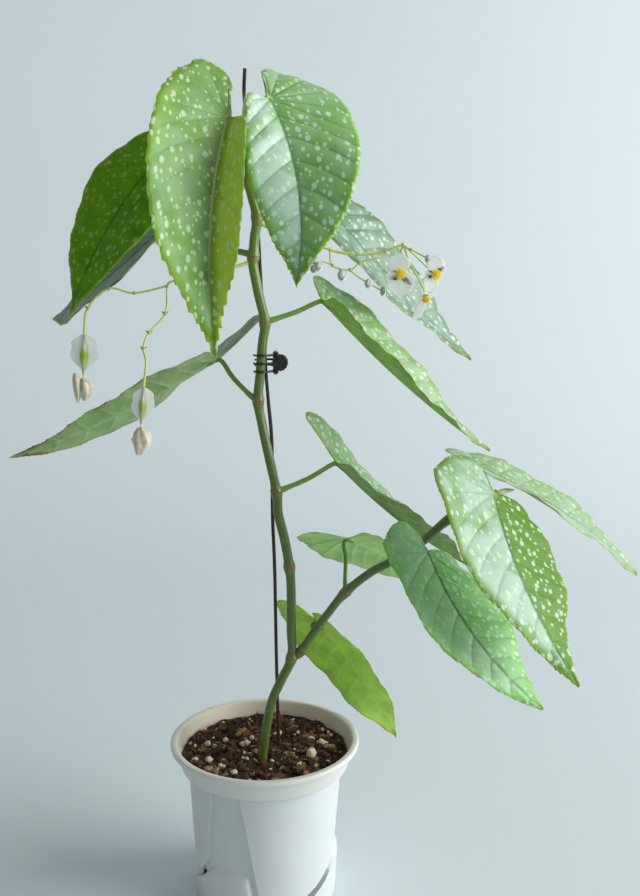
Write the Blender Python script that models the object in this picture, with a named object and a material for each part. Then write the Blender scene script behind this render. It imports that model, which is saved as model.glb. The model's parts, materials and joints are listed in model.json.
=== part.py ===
"""A potted begonia: a slit pot full of bark mix, a zigzag cane with leaves and flowers, a stick and a clip.

+Z is up, the origin is the middle of the pot's foot, and the plant's front looks along -Y.
Sizes below are millimetres and degrees. They become metres where a mesh is made.
"""

from dataclasses import dataclass
from math import cos, pi, radians, sin

import bmesh
import bpy
import numpy as np

MM = 0.001
GAP = 0.3  # left between two pieces that touch

# Pot
POT_HEIGHT = 105.0
RIM_RADIUS = 60.0
RIM_INNER_RADIUS = 55.7
RIM_DEPTH = 3.6
COLLAR_TOP_RADIUS = 55.0
COLLAR_FOOT_RADIUS = 52.6
COLLAR_FOOT_Z = 90.2
BODY_TOP_Z = 89.0
PANEL_TOP_RADIUS = 49.0
PANEL_FOOT_RADIUS = 44.4
PANEL_STEP = 2.4  # how far a raised panel stands out of the wall
PANEL_EDGE = 0.9  # degrees that the step's slope takes up
PANEL_AZIMUTHS = (-58.0, 62.0, 182.0)  # 0 is +X, -90 the front
PANEL_TOP_HALF_ANGLE = 48.4
PANEL_FOOT_HALF_ANGLE = 31.0
PANEL_CORNER_Z = 40.0  # below this the panel's right edge curves in over its slit
PANEL_CORNER_ANGLE = 78.0  # how far the curve would take the edge in at the pot's foot, in degrees
PANEL_CORNER_MOST = 50.0
BAND_OUT = 3.0  # how far the foot band between two panels stands out of the wall
BAND_LOW_Z = 28.0  # the band is full below this, and gone above BAND_TOP_Z
BAND_TOP_Z = 36.0
PANEL_SPANS = 8  # the wall's facets across a panel
RECESS_SHARES = (0.0, 0.12, 0.5, 0.86)  # where the columns between two panels stand
WALL = 1.6
INNER_STEP_Z = 90.7
INNER_STEP_TOP_Z = 92.3
POT_COLUMNS = 42
FOOT_RADIUS = 45.0
FOOT_RING = 3.0
FOOT_ROWS = 4  # rings of the foot, whose columns follow the wall's
BODY_ROWS = (FOOT_RING + 0.5, 8.0, 12.0, 17.0, 23.0, BAND_LOW_Z, BAND_TOP_Z, PANEL_CORNER_Z, BODY_TOP_Z)
FLOOR = 2.4
SLIT_WIDTH = 3.8
SLIT_TOP_Z = 27.0
SLIT_FOOT_Z = 9.0
SLIT_OFFSET = 2.2  # from the panel's edge to the slit's middle
SLIT_DEPTHS = (-0.8, 0.9)  # where the cutter's two rods run, out from the wall's face
SLIT_POINTS = 9
DRAIN_RADIUS = 1.8
DRAIN_CIRCLE = 27.0
DRAIN_COUNT = 6

# Potting mix
SOIL_Z = 95.5
SOIL_RELIEF = 1.9  # most that the surface rises or falls
SOIL_RINGS = (11.0, 22.0, 33.0, 43.5)
SOIL_SIDES = POT_COLUMNS // 2
BARK_COUNT = 16
PERLITE_COUNT = 10
SPREAD_RADIUS = 44.0  # of the circle over which chips and beads are spread
GOLDEN_SHARE = 0.618  # of a turn from one to the next
BARK_LEAN = 0.35  # most that a chip leans, as a slope
CHIP_RISE = 0.3  # from the surface up to a chip's middle
BEAD_RISE = 0.2  # the same for a bead, as a share of its radius

# Cane: its middle line from the buried end to the tip, and the radius between its nodes and at them
CANE_RADIUS = 2.85
NODE_RADIUS = 3.75
NODE_LENGTH = 3.2
TIP_RADIUS = 1.9
TAPER_Z = 440.0  # above this the cane grows thinner
CANE_SIDES = 8
CANE = (
    (-3.5, -11, 66), (-1, -11, 96), (4, -10.5, 130), (11, -10.5, 147.5), (17.5, -10, 162.5),
    (17.5, -10, 181.5), (17.5, -9.5, 206.5), (16.5, -9.5, 221), (13.5, -9, 239), (10, -9, 254.5),
    (9, -8.5, 268), (4.5, -8.5, 290), (1, -8, 307.5), (-1.5, -8, 323.5), (0, -8, 341.5),
    (1.5, -8, 358), (3, -7.5, 370), (-0.5, -7.5, 386), (-3.5, -7, 402.5), (-3.5, -7, 408),
    (-2.5, -7, 419), (-1, -7, 430), (-4, -7, 442.5), (-6, -7, 451), (-7, -7.5, 466.5),
    (-7.5, -8, 477.5),
)
CANE_NODES = (162.5, 221, 268, 323.5, 370, 408, 430, 451, 466.5)  # heights of the swollen nodes
BRANCH_RADIUS = 2.5
BRANCH_NODE_RADIUS = 3.3
BRANCH_TIP_RADIUS = 1.6
BRANCH_TAPER_Z = 258.0
BRANCH = (
    (17.5, -10, 162.5), (23.5, -10, 167), (30.5, -12, 178.5), (40, -16, 193.5), (50.5, -20, 208.5),
    (65, -27, 223), (77, -32, 231.5), (87.5, -37, 240.5), (97, -41, 248.5), (106.5, -45, 259),
    (119, -50, 269), (130, -51.5, 276), (135, -49.5, 278),
)
BRANCH_NODES = (167, 208.5, 240.5, 262)

# Support stick
STICK_RADIUS = 1.1
STICK = (
    (9.5, 5.5, 40), (8.5, 5, 96), (7.5, 4, 162), (7, 3, 214.5), (6, 1.5, 251.5), (6, 0, 296.5),
    (4.2, -2.8, 323.5), (3, -4.5, 340.5), (2.5, -3.9, 352), (1.5, -1, 369.5), (0, -0.5, 402.5),
    (-0.5, 0, 414.5), (-3, 1, 446), (-5.5, 1, 471), (-8, 1, 498), (-7.5, 1, 513),
)

# Clip: its hinge pin stands beside the cane, and its claws reach round cane and stick
PIN = (9.0, -5.0)
PIN_RADIUS = 0.6
BARREL_RADIUS = 1.7
BARREL_HOLE = PIN_RADIUS + 1.3 * GAP
PIN_HEAD = (1.3, 0.5)  # radius and thickness
CLIP_LOW, CLIP_HIGH = 339.6, 352.4
CLAW_RADIUS = 0.75
CLAW_RING = 4.3  # radius of a front claw's bend round the cane
CLAW_CENTRE = (0.4, -7.6)
FRONT_CLAW_TURNS = (-42, -68, -95, -122, -150, -178, -195)
BACK_CLAW = ((8.4, -3.4), (5.8, -1.9), (3.0, -1.2), (0.4, -1.7), (-2.2, -3.2), (-3.4, -5.0))
FRONT_CLAW_HEIGHTS = (341.2, 350.8)
MIDDLE_CLAW_HEIGHT = 346.0
BACK_CLAW_HEIGHTS = (344.35, 347.65)
CLAW_POINTS = 10
BAR_OUT = 2.5  # from the pin to the bar that ties a jaw's parts together
KNEE_OUT = 1.9  # from the pin to the root of a claw
WEB_OUT = 1.4  # from the pin to the web between barrel and pad
PAD_OUT = 4.0  # from the pin to the middle of a thumb pad's thickness
PAD_SHIFT = 2.6  # how far right of the pin a pad's middle lies
PAD_RADIUS = 4.75
PAD_THICK = 1.1
PAD_SCALLOPS = 14
PAD_NOTCH = 0.4
PAD_NECK = (2.4, 2.0, 6.6)  # the block between a jaw's bar and its pad
WEB_SIZE = (1.8, 2.0)  # to the right and away from the cane
KNEE_SIZE = (2.4, 1.1, 1.4)
KNEE_SHIFT = -0.4  # how far right of the pin a knee's middle lies
BAR_SIZE = (1.6, 0.8)
BAR_SHIFT = 0.2

# Leaves
BLADE_THICK = 0.7
RIB_DEPTH = 1.0  # how far the midrib stands out of the underside
STATIONS = 10  # rows of the blade's mesh from the leaf stalk's joint to the tip
TOOTH = 1.1  # how far a tooth stands out of the edge
WAVES = 3.2  # waves along each edge
VEIN_LEAD = 0.75  # how far a vein slants forward for each millimetre that it runs outward
STALK_SIDES = 5
SINUS = 0.17  # how fast the notch behind the leaf stalk opens, each way
FIRST_PICK = 3.0  # nearest corner of the edge to the leaf stalk's joint
SHOULDER_SLACK = 0.002  # radians within which two places of the edge lie equally far round from the tip


@dataclass
class Leaf:
    """One leaf. Its blade runs from base, at the stalk's end, to tip, and its upper side looks along facing.

    arch is the bend along it, fold how far each half rises from the midrib, cup how much more it rises at the
    edge, sweep the midrib's bow in the blade's plane, and twist the turn from base to tip. left and right are
    each half as seen from above with the tip down: (half width, lobe behind the base, widest place as a share
    of the length). stalk lists the leaf stalk's points from inside the cane to under the base.
    """

    base: tuple
    tip: tuple
    facing: tuple
    stalk: tuple
    left: tuple
    right: tuple
    arch: float = 0.0
    fold: float = 0.0
    cup: float = 0.0
    sweep: float = 0.0
    twist: float = 0.0
    taper: float = 0.25
    wave: float = 1.2
    stalk_radius: float = 1.5


LEAVES = {
    "leaf_top_left": Leaf(
        base=(-13.8, -41, 482.8), tip=(-20.2, -70, 356.3), facing=(-0.15, -0.97, 0.19),
        arch=62, fold=38, cup=14, sweep=-2, twist=21, left=(43, 33, 0.32), right=(24, -10, 0.39), taper=0.19,
        stalk=((-7, -7.5, 466.5), (-9, -21, 468)),
    ),
    "leaf_top_right": Leaf(
        base=(7.8, -28, 493.6), tip=(22.9, -68.5, 393.4), facing=(0.56, -0.78, 0.30),
        arch=31, fold=13, cup=-11, sweep=5, twist=-61, left=(26, -1, 0.41), right=(43, 25, 0.09), taper=0.35,
        stalk=((-7.5, -8, 474), (-3, -15, 479)),
    ),
    "leaf_back_left_high": Leaf(
        base=(-61, 8, 462), tip=(-116, 12, 370), facing=(-0.40, -0.82, 0.40),
        arch=39, fold=7, cup=-7, sweep=1, twist=0, left=(31, 15, 0.24), right=(28, 20, 0.22), taper=0.22,
        stalk=((-6, -7, 450), (-22, 0, 464), (-45, 8, 468)),
    ),
    "leaf_back_left_low": Leaf(
        base=(-65, 33, 420.5), tip=(-136.5, 57, 367), facing=(-0.28, -0.42, 0.86),
        arch=8, fold=5, cup=14, sweep=13, twist=6, left=(22, 8, 0.24), right=(34, 14, 0.32), taper=0.36,
        stalk=((-3.5, -7, 409), (-11, -3.5, 410.5), (-30, 10, 414), (-48, 24, 416)),
    ),
    "leaf_left_long": Leaf(
        base=(-27.6, 4, 347.5), tip=(-153.6, 2, 287), facing=(0.06, 0.18, 0.98),
        arch=-15, fold=18, cup=5, sweep=-1, twist=-62, left=(32, 37, 0.19), right=(17, 0, 0.11), taper=0.23,
        stalk=((-1.5, -8, 323.5), (-7, -7, 327.5), (-17, -1.5, 337)),
    ),
    "leaf_back_right": Leaf(
        base=(42, 30, 434), tip=(132, 49, 341), facing=(0.25, -0.58, 0.78),
        arch=8, fold=12, cup=0, sweep=-6, twist=2, left=(23, 13, 0.24), right=(26, 10, 0.28), taper=0.26,
        stalk=((-1, -7, 431), (3, -3, 432), (20, 14, 433)),
    ),
    "leaf_right_high": Leaf(
        base=(38.2, 2, 382), tip=(140.4, 13, 288.9), facing=(0, -0.08, 1),
        arch=-12, fold=29, cup=5, sweep=-5, twist=-14, left=(18, -3, 0.34), right=(27, 15, 0.23), taper=0.22,
        stalk=((3, -7.5, 370), (8, -6, 371.5), (22, -2, 376)),
    ),
    "leaf_right_middle": Leaf(
        base=(47.1, 4, 283.2), tip=(132, 35, 208.5), facing=(0.21, -0.20, 0.96),
        arch=-16, fold=21, cup=-1, sweep=-1, twist=29, left=(29, 1, 0.46), right=(25, 36, 0.30), taper=0.32,
        stalk=((9, -8.5, 268), (14, -7, 269.8), (29, -2, 275.4)),
    ),
    "leaf_branch_end": Leaf(
        base=(131.5, -62, 279.8), tip=(170.6, -114, 188.6), facing=(0.69, -0.64, 0.35),
        arch=21, fold=-2, cup=2, sweep=-16, twist=-12, left=(41, 19, 0.04), right=(34, 2, 0.40), taper=0.23,
        stalk=((124.5, -51, 272.5), (126.5, -55, 274)), stalk_radius=1.3,
    ),
    "leaf_branch_front": Leaf(
        base=(96, -60, 245.5), tip=(155.4, -100, 169.4), facing=(0.72, -0.51, 0.47),
        arch=8, fold=-1, cup=1, sweep=-15, twist=-20, left=(32, 16, 0.04), right=(31, 3, 0.44), taper=0.29,
        stalk=((87.5, -37, 240.5), (88, -46, 239)),
    ),
    "leaf_branch_back": Leaf(
        base=(126, -25, 288), tip=(229, -9, 216), facing=(0.19, -0.13, 0.97),
        arch=25, fold=13, cup=5, sweep=-3, twist=-19, left=(27, 14, 0.27), right=(19, 18, 0.34), taper=0.34,
        stalk=((110, -46.5, 262), (113, -42, 270), (118, -33, 281)),
    ),
    "leaf_branch_small": Leaf(
        base=(52.1, 8, 234.4), tip=(115.2, 40, 192.1), facing=(-0.03, 0.54, 0.84),
        arch=18, fold=0, cup=-4, sweep=2, twist=0, left=(22, -1, 0.30), right=(32, 28, 0.22), taper=0.31,
        stalk=((50.5, -20, 208.5), (50.5, -13, 216), (51, -2, 224)), wave=0.8, stalk_radius=1.2,
    ),
    "leaf_low": Leaf(
        base=(34, 8, 179.5), tip=(86, 26, 91.5), facing=(0.55, 0.64, 0.53),
        arch=22, fold=-6, cup=-8, sweep=2, twist=14, left=(22, 12, 0.24), right=(31, 25, 0.23), taper=0.44,
        stalk=((28.5, -11.5, 176), (30, -5, 177), (31.5, 0, 177)), wave=0.8, stalk_radius=1.3,
    ),
}

# Flower stalks, seed pods, blooms and buds
STALK_RADIUS = 0.85
TWIG_RADIUS = 0.6
JOINT_RADII = (1.05, 1.15)
STALK_POINTS = 10
TWIG_POINTS = 8
LEFT_STALK = ((-3.5, -7, 406), (-11, -9.5, 403), (-31, -13, 398), (-49.5, -16, 394), (-52.5, -16, 391.5))
PODS = {  # where the twig ends, where the neck ends, the width, and each wilted petal's ends and radius
    "pod_left": ((-101.3, -17, 364.2), (-102.6, -17, 336.8), 16.5, (
        ((-107.2, -18, 341.4), (-106.4, -18, 324), 2.6), ((-103.4, -16.4, 338.2), (-102.9, -16, 324.8), 4.3))),
    "pod_right": ((-64.8, -36, 336), (-67, -36, 310.6), 12.8, (
        ((-67.2, -36, 312.6), (-69, -36, 296.8), 5.2),)),
}
POD_TURNS = (5.0, 168.0, 95.0)  # where a pod's wings stand, seen from above
AXIS_SHARES = (0.0, 0.2, 0.33, 0.47, 0.62, 0.74, 1.0)
AXIS_RADII = (0.6, 0.8, 2.0, 2.35, 1.9, 0.8, 0.75)
WILTED_SHARES = (0.35, 0.8, 1.0, 0.92, 0.62, 0.25)  # a wilted petal's radius, from its top to its tip
WING_REACH = 0.48  # from the axis to a wing's edge, as a share of the pod's width
WING_START = 0.42  # from the axis to the middle of a wing's root, as a share of its reach
WING_SPREAD = 1.25  # a wing's width, as a share of its reach
WING_LENGTH = 0.82  # a wing's length, as a share of the axis
PETAL_ROWS = 4
LEFT_TWIGS = (
    ((-52.5, -16, 391.5), (-71.5, -16, 387.5), (-86, -16, 390), (-98.5, -17, 379), PODS["pod_left"][0]),
    ((-52.5, -16, 391.5), (-53.8, -19, 376), (-62.5, -25, 365.5), (-65, -31, 357), (-63, -35, 350),
     PODS["pod_right"][0]),
)
LEFT_JOINTS = ((-52.5, -16, 391.5), (-71.5, -16, 387.5), (-86, -16, 390), (-98.5, -17, 379),
               (-53.8, -19, 376), (-62.5, -25, 365.5), (-65, -31, 357))
HUB = (84, 4, 414.6)  # where the blooms' twigs part
RIGHT_STALK = ((-1, -7, 427.5), (3.5, -7, 425.5), (11, -4, 422.5), (23.5, 0, 418.5), (41, 3, 411.8),
               (49, 3.6, 409.8), (57, 4, 408.9), (66, 4, 409.2), (73.4, 4, 410.6), (79, 4, 412.8), HUB)
RIGHT_JOINTS = ((41, 3, 411.8), (57, 4, 408.9), (73.4, 4, 410.6), (42.6, 3, 402.6), (52.9, 3, 399.9),
                (58.8, 3, 404), (88.8, 4, 411.7), HUB)
RIGHT_TWIGS = (
    (RIGHT_JOINTS[0], RIGHT_JOINTS[3], RIGHT_JOINTS[4], RIGHT_JOINTS[5], (66.4, 3, 406.3), (70.4, 3.4, 407.2)),
    (RIGHT_JOINTS[3], (38, 2.6, 404.4), (33.2, 2, 403.6), (32.2, 2.3, 400.6)),
    ((46.5, 3, 401.2), (48.2, 2.2, 397.2)),
    (RIGHT_JOINTS[4], (56.5, 3, 396.9), (60.5, 2.6, 394.2), (63.6, 2, 392.2), (68, 2, 390), (72, 2, 387.6)),
    (HUB, (88.8, 4, 411.7), (94.5, 3, 408.8), (98.5, 2, 406.4)),
)
BLOOM_TWIGS = {
    "bloom_left": (HUB, (82.8, 6.5, 409)),
    "bloom_right": (HUB, (90, 6, 409.5), (98, 6.5, 402)),
    "bloom_low": (HUB, (88.5, 7.5, 404), (94.5, 5.5, 393)),
}
BUDS = (  # place, radius and half the length of each bud
    ((32.4, 2, 405.2), 2.3, 3.0), ((34.4, 1.6, 402), 2.3, 3.0), ((31.6, 2.6, 400.4), 2.1, 2.6),
    ((48.2, 2, 396.6), 2.6, 3.7), ((63.6, 2, 391.8), 2.1, 2.9), ((72.4, 2, 387), 1.7, 3.0),
    ((98.7, 2, 406.3), 2.0, 2.6),
)
BLOOMS = {  # middle, facing, stamens' radius, and each petal's turn (0 right, 90 up), length and width
    "bloom_left": ((82.4, 3.4, 397.2), (0.05, -1.0, 0.12), 2.5, (
        (-95, 13.5, 15.5), (98, 12.5, 13.5), (187, 8.5, 6.5), (-27, 12.5, 6.5))),
    "bloom_right": ((102.7, -0.4, 397.2), (0.15, -1.0, 0.05), 2.4, (
        (-122, 11.6, 10.0), (94, 11.5, 11.0), (35, 7.5, 4.5), (172, 6.5, 5.0))),
    "bloom_low": ((97.0, -4.3, 384.8), (0.1, -0.8, -0.6), 1.8, (
        (-112, 16.0, 5.6), (135, 7.5, 5.0), (40, 6.5, 4.0))),
}
BLOOM_DEPTH = 1.3  # half the thickness of a bloom's middle
PETAL_THICK = 0.65
SHEATHS = {  # the stem's end, the sheath's tip and its radius
    "young_sheath_top": (CANE[-1], (-7, -9, 497), 1.6),
    "young_sheath_branch": (BRANCH[-1], (146.5, -43, 277.8), 1.5),
}


def smooth_path(points, count):
    """count points spaced evenly along a smooth curve through the given ones (Catmull-Rom)."""
    p = np.asarray(points, float)
    p = np.vstack([2 * p[0] - p[1], p, 2 * p[-1] - p[-2]])
    steps = np.linspace(0, 1, 17)[:-1, None]
    curve = []
    for a, b, c, d in zip(p, p[1:], p[2:], p[3:]):
        bend = 2 * a - 5 * b + 4 * c - d
        twist = 3 * b - a - 3 * c + d
        curve.append(b + 0.5 * ((c - a) * steps + bend * steps**2 + twist * steps**3))
    curve = np.vstack(curve + [p[-2:-1]])
    run = np.concatenate([[0], np.cumsum(np.linalg.norm(np.diff(curve, axis=0), axis=1))])
    want = np.linspace(0, run[-1], count)
    return np.stack([np.interp(want, run, column) for column in curve.T], axis=1)


def unit(vector):
    vector = np.asarray(vector, float)
    return vector / np.linalg.norm(vector)


def tube(points, radii, sides):
    """A closed tube along points: its corners and faces. Each ring is turned from the last with no twist."""
    points = np.asarray(points, float)
    radii = np.broadcast_to(radii, len(points))
    ways = np.gradient(points, axis=0)
    across = unit(np.cross(ways[0], (0.31, 0.82, 0.48)))
    corners = []
    for point, way, radius in zip(points, ways, radii):
        way = unit(way)
        across = unit(across - way * (across @ way))
        side = np.cross(way, across)
        for k in range(sides):
            turn = 2 * pi * k / sides
            corners.append(point + radius * (cos(turn) * across + sin(turn) * side))
    faces = [tuple(reversed(range(sides))), tuple(range(len(corners) - sides, len(corners)))]
    for ring in range(len(points) - 1):
        for k in range(sides):
            a, b = ring * sides + k, ring * sides + (k + 1) % sides
            faces.append((a, b, b + sides, a + sides))
    return corners, faces


def ball(centre, radii, turns=8, rings=5, way=(0, 0, 1)):
    """A closed round lump with the given radii across and along way."""
    way = unit(way)
    across = unit(np.cross(way, (0.31, 0.82, 0.48)))
    side = np.cross(way, across)
    corners = [np.asarray(centre) - radii[1] * way]
    for ring in range(1, rings):
        lift = pi * ring / rings
        for k in range(turns):
            turn = 2 * pi * (k + 0.5 * (ring % 2)) / turns
            spread = radii[0] * sin(lift) * (cos(turn) * across + sin(turn) * side)
            corners.append(np.asarray(centre) + spread - radii[1] * cos(lift) * way)
    corners.append(np.asarray(centre) + radii[1] * way)
    last = len(corners) - 1
    faces = [(0, 1 + (k + 1) % turns, 1 + k) for k in range(turns)]
    for ring in range(rings - 2):
        low, high = 1 + ring * turns, 1 + (ring + 1) * turns
        for k in range(turns):
            faces.append((low + k, low + (k + 1) % turns, high + (k + 1) % turns, high + k))
    faces += [(last, last - turns + k, last - turns + (k + 1) % turns) for k in range(turns)]
    return corners, faces


def box(centre, size, along, up):
    """A closed block whose sides run along, across and up."""
    along = unit(along)
    across = unit(np.cross(up, along))
    up = np.cross(along, across)
    signs = [(x, y, z) for x in (-1, 1) for y in (-1, 1) for z in (-1, 1)]
    half = np.asarray(size, float) / 2
    corners = [np.asarray(centre) + x * half[0] * along + y * half[1] * across + z * half[2] * up
               for x, y, z in signs]
    faces = [(0, 1, 3, 2), (4, 6, 7, 5), (0, 4, 5, 1), (2, 3, 7, 6), (0, 2, 6, 4), (1, 5, 7, 3)]
    return corners, faces


def material(name, colour, roughness):
    made = bpy.data.materials.new(name)
    made.use_nodes = True
    shader = made.node_tree.nodes["Principled BSDF"]
    shader.inputs["Base Color"].default_value = (*colour, 1)
    shader.inputs["Roughness"].default_value = roughness
    made.diffuse_color = (*colour, 1)
    return made


def solid(name, shape, finish=None, smooth=True):
    """An object from a closed shape given in millimetres, with its faces turned outward."""
    corners, faces = shape
    mesh = bpy.data.meshes.new(name)
    mesh.from_pydata([tuple(MM * np.asarray(corner)) for corner in corners], [], faces)
    tidy = bmesh.new()
    tidy.from_mesh(mesh)
    bmesh.ops.recalc_face_normals(tidy, faces=tidy.faces)
    tidy.to_mesh(mesh)
    tidy.free()
    mesh.update()
    if smooth:
        mesh.shade_smooth()
        mesh.set_sharp_from_angle(angle=radians(40))
    if finish:
        mesh.materials.append(finish)
    made = bpy.data.objects.new(name, mesh)
    bpy.context.scene.collection.objects.link(made)
    return made


def combine(target, others, operation):
    """Joins others to target, or cuts them from it, in one applied Boolean. The others are removed."""
    group = bpy.data.collections.new("tools")
    bpy.context.scene.collection.children.link(group)
    for other in others:
        bpy.context.scene.collection.objects.unlink(other)
        group.objects.link(other)
    step = target.modifiers.new("combine", "BOOLEAN")
    step.operation = operation
    step.solver = "EXACT"
    step.operand_type = "COLLECTION"
    step.collection = group
    result = bpy.data.meshes.new_from_object(target.evaluated_get(bpy.context.evaluated_depsgraph_get()))
    target.modifiers.clear()
    target.data = result
    for other in others:
        bpy.data.objects.remove(other)
    bpy.data.collections.remove(group)
    return target


def join(target, others):
    return combine(target, others, "UNION")


def cut(target, others):
    return combine(target, others, "DIFFERENCE")


def panel_half_angle(z):
    """Half of a raised panel's width at a height, in degrees."""
    return PANEL_FOOT_HALF_ANGLE + (PANEL_TOP_HALF_ANGLE - PANEL_FOOT_HALF_ANGLE) * z / BODY_TOP_Z


def panel_right_angle(z):
    """How far right of its middle a panel ends, in degrees: its lower right corner is rounded."""
    corner = PANEL_CORNER_ANGLE * max(0.0, 1 - z / PANEL_CORNER_Z) ** 2
    return panel_half_angle(z) - min(corner, PANEL_CORNER_MOST)


def panel_radius(z):
    return PANEL_FOOT_RADIUS + (PANEL_TOP_RADIUS - PANEL_FOOT_RADIUS) * z / BODY_TOP_Z


def recess_radius(z):
    return panel_radius(z) - PANEL_STEP


def band_radius(z):
    """The wall between two panels: it steps out to the foot band near the ground."""
    return recess_radius(z) + np.interp(z, (BAND_LOW_Z, BAND_TOP_Z), (BAND_OUT, 0.0))


def pot_columns(z):
    """The wall's columns at a height, all round: (azimuth, radius)."""
    left, right = panel_half_angle(z) + PANEL_EDGE, panel_right_angle(z) + PANEL_EDGE
    pitch = (left + right - 2 * PANEL_EDGE) / PANEL_SPANS
    columns = []
    for middle in PANEL_AZIMUTHS:
        columns.append((middle - left, recess_radius(z)))
        start = middle - left + PANEL_EDGE
        columns += [(start + k * pitch, panel_radius(z)) for k in range(PANEL_SPANS + 1)]
        for share in RECESS_SHARES:
            reach = band_radius(z) if share else recess_radius(z)
            columns.append((middle + right + (120 - left - right) * share, reach))
    return columns


def turned_columns(radius):
    """Evenly spaced columns for the rim and the inside, which start in line with the wall's."""
    pitch = 360 / POT_COLUMNS
    return [(PANEL_AZIMUTHS[0] + (k - 5) * pitch, radius) for k in range(POT_COLUMNS)]


def inner_radius(z):
    """The pot's inside radius: a plain cone up to INNER_STEP_Z, and a wider one behind the collar."""
    if z <= INNER_STEP_Z:
        return recess_radius(min(z, BODY_TOP_Z)) - WALL
    heights = (COLLAR_FOOT_Z, POT_HEIGHT - RIM_DEPTH)
    return np.interp(z, heights, (COLLAR_FOOT_RADIUS, COLLAR_TOP_RADIUS)) - WALL


def pot_rows():
    """The pot's rings, from its underside up the outside, over the rim and down the inside to its floor."""
    top = POT_HEIGHT
    lip = top - RIM_DEPTH
    round_rows = [(0.0, 0.0), (FOOT_RADIUS - 0.6, 0.0), (FOOT_RADIUS, 0.6), (FOOT_RADIUS, FOOT_RING)]
    body_rows = [(None, z) for z in BODY_ROWS]
    rim_rows = [
        (COLLAR_FOOT_RADIUS - 0.8, BODY_TOP_Z + 0.2), (COLLAR_FOOT_RADIUS, COLLAR_FOOT_Z),
        (COLLAR_TOP_RADIUS, lip - 0.6), (RIM_RADIUS - 1.2, lip - 0.2), (RIM_RADIUS, lip + 0.9),
        (RIM_RADIUS, top - 1.1), (RIM_RADIUS - 1.1, top), (RIM_INNER_RADIUS + 0.9, top),
        (RIM_INNER_RADIUS, top - 0.9),
    ]
    inner_rows = [(inner_radius(z), z) for z in (lip - 1, INNER_STEP_TOP_Z, INNER_STEP_Z, FLOOR)]
    return round_rows + body_rows + rim_rows + inner_rows + [(0.0, FLOOR)]


def make_pot(finish):
    corners, faces = [], []
    rows = pot_rows()
    count = POT_COLUMNS
    for number, (radius, z) in enumerate(rows):
        if radius == 0.0:
            corners.append((0, 0, z))
            continue
        wall = pot_columns(z)
        if radius:
            under_panels = number < FOOT_ROWS
            wall = [(azimuth, radius) for azimuth, _ in wall] if under_panels else turned_columns(radius)
        for azimuth, reach in wall:
            corners.append((reach * cos(radians(azimuth)), reach * sin(radians(azimuth)), z))
    for k in range(count):
        faces.append((0, 1 + (k + 1) % count, 1 + k))
    for ring in range(len(rows) - 3):
        low = 1 + ring * count
        for k in range(count):
            a, b = low + k, low + (k + 1) % count
            faces.append((a, b, b + count, a + count))
    last = len(corners) - 1
    for k in range(count):
        faces.append((last, last - count + k, last - count + (k + 1) % count))
    pot = solid("pot", (corners, faces), finish)
    cutters = [slit(middle, depth) for middle in PANEL_AZIMUTHS for depth in SLIT_DEPTHS]
    for k in range(DRAIN_COUNT):
        turn = 2 * pi * (k + 0.5) / DRAIN_COUNT
        spot = (DRAIN_CIRCLE * cos(turn), DRAIN_CIRCLE * sin(turn))
        cutters.append(solid("drain", tube([(*spot, -1), (*spot, FLOOR + 1)], DRAIN_RADIUS, 8)))
    return cut(pot, cutters)


def slit(middle, depth):
    """A rod that cuts the drain slit round a panel's lower right corner, at a depth in the wall."""
    heights = np.linspace(SLIT_FOOT_Z, SLIT_TOP_Z, SLIT_POINTS)
    edge = [(recess_radius(z) * radians(panel_right_angle(z) + PANEL_EDGE), z) for z in heights]
    way = unit(np.gradient(np.array(edge), axis=0))
    path = []
    for round_about, z in np.array(edge) + SLIT_OFFSET * np.stack([way[:, 1], -way[:, 0]], axis=1):
        turn = radians(middle) + round_about / recess_radius(z)
        reach = recess_radius(z) + depth
        path.append((reach * cos(turn), reach * sin(turn), z))
    return solid("slit", tube(path, SLIT_WIDTH / 2, 8))


def soil_height(x, y):
    """The mix's uneven surface."""
    broad = sin(0.21 * x + 1.0) * cos(0.17 * y)
    fine = 0.6 * sin(0.37 * x - 0.29 * y) + 0.5 * cos(0.52 * y + 0.3 * x)
    return SOIL_Z + SOIL_RELIEF * (broad + fine) / 2.1


def make_soil(finish, cane_hole, stick_hole):
    corners, faces = [(0, 0, FLOOR + GAP)], []
    edge = [(inner_radius(z) - GAP, z + 1.2 * GAP) for z in (FLOOR, INNER_STEP_Z, INNER_STEP_TOP_Z)]
    edge.append((inner_radius(SOIL_Z - SOIL_RELIEF) - GAP, None))
    azimuths = [azimuth for azimuth, _ in turned_columns(0.0)[::2]]
    for radius, z in edge + [(radius, None) for radius in reversed(SOIL_RINGS)]:
        for azimuth in azimuths:
            x, y = radius * cos(radians(azimuth)), radius * sin(radians(azimuth))
            corners.append((x, y, soil_height(x, y) if z is None else z))
    corners.append((0, 0, soil_height(0, 0)))
    last = len(corners) - 1
    for k in range(SOIL_SIDES):
        faces.append((0, 1 + (k + 1) % SOIL_SIDES, 1 + k))
        faces.append((last, last - SOIL_SIDES + k, last - SOIL_SIDES + (k + 1) % SOIL_SIDES))
    for ring in range(len(edge) + len(SOIL_RINGS) - 1):
        for k in range(SOIL_SIDES):
            a = 1 + ring * SOIL_SIDES + k
            b = 1 + ring * SOIL_SIDES + (k + 1) % SOIL_SIDES
            faces.append((a, b, b + SOIL_SIDES, a + SOIL_SIDES))
    soil = solid("soil", (corners, faces), finish, smooth=False)
    join(soil, bark_and_perlite())
    return cut(soil, [cane_hole, stick_hole])


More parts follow.
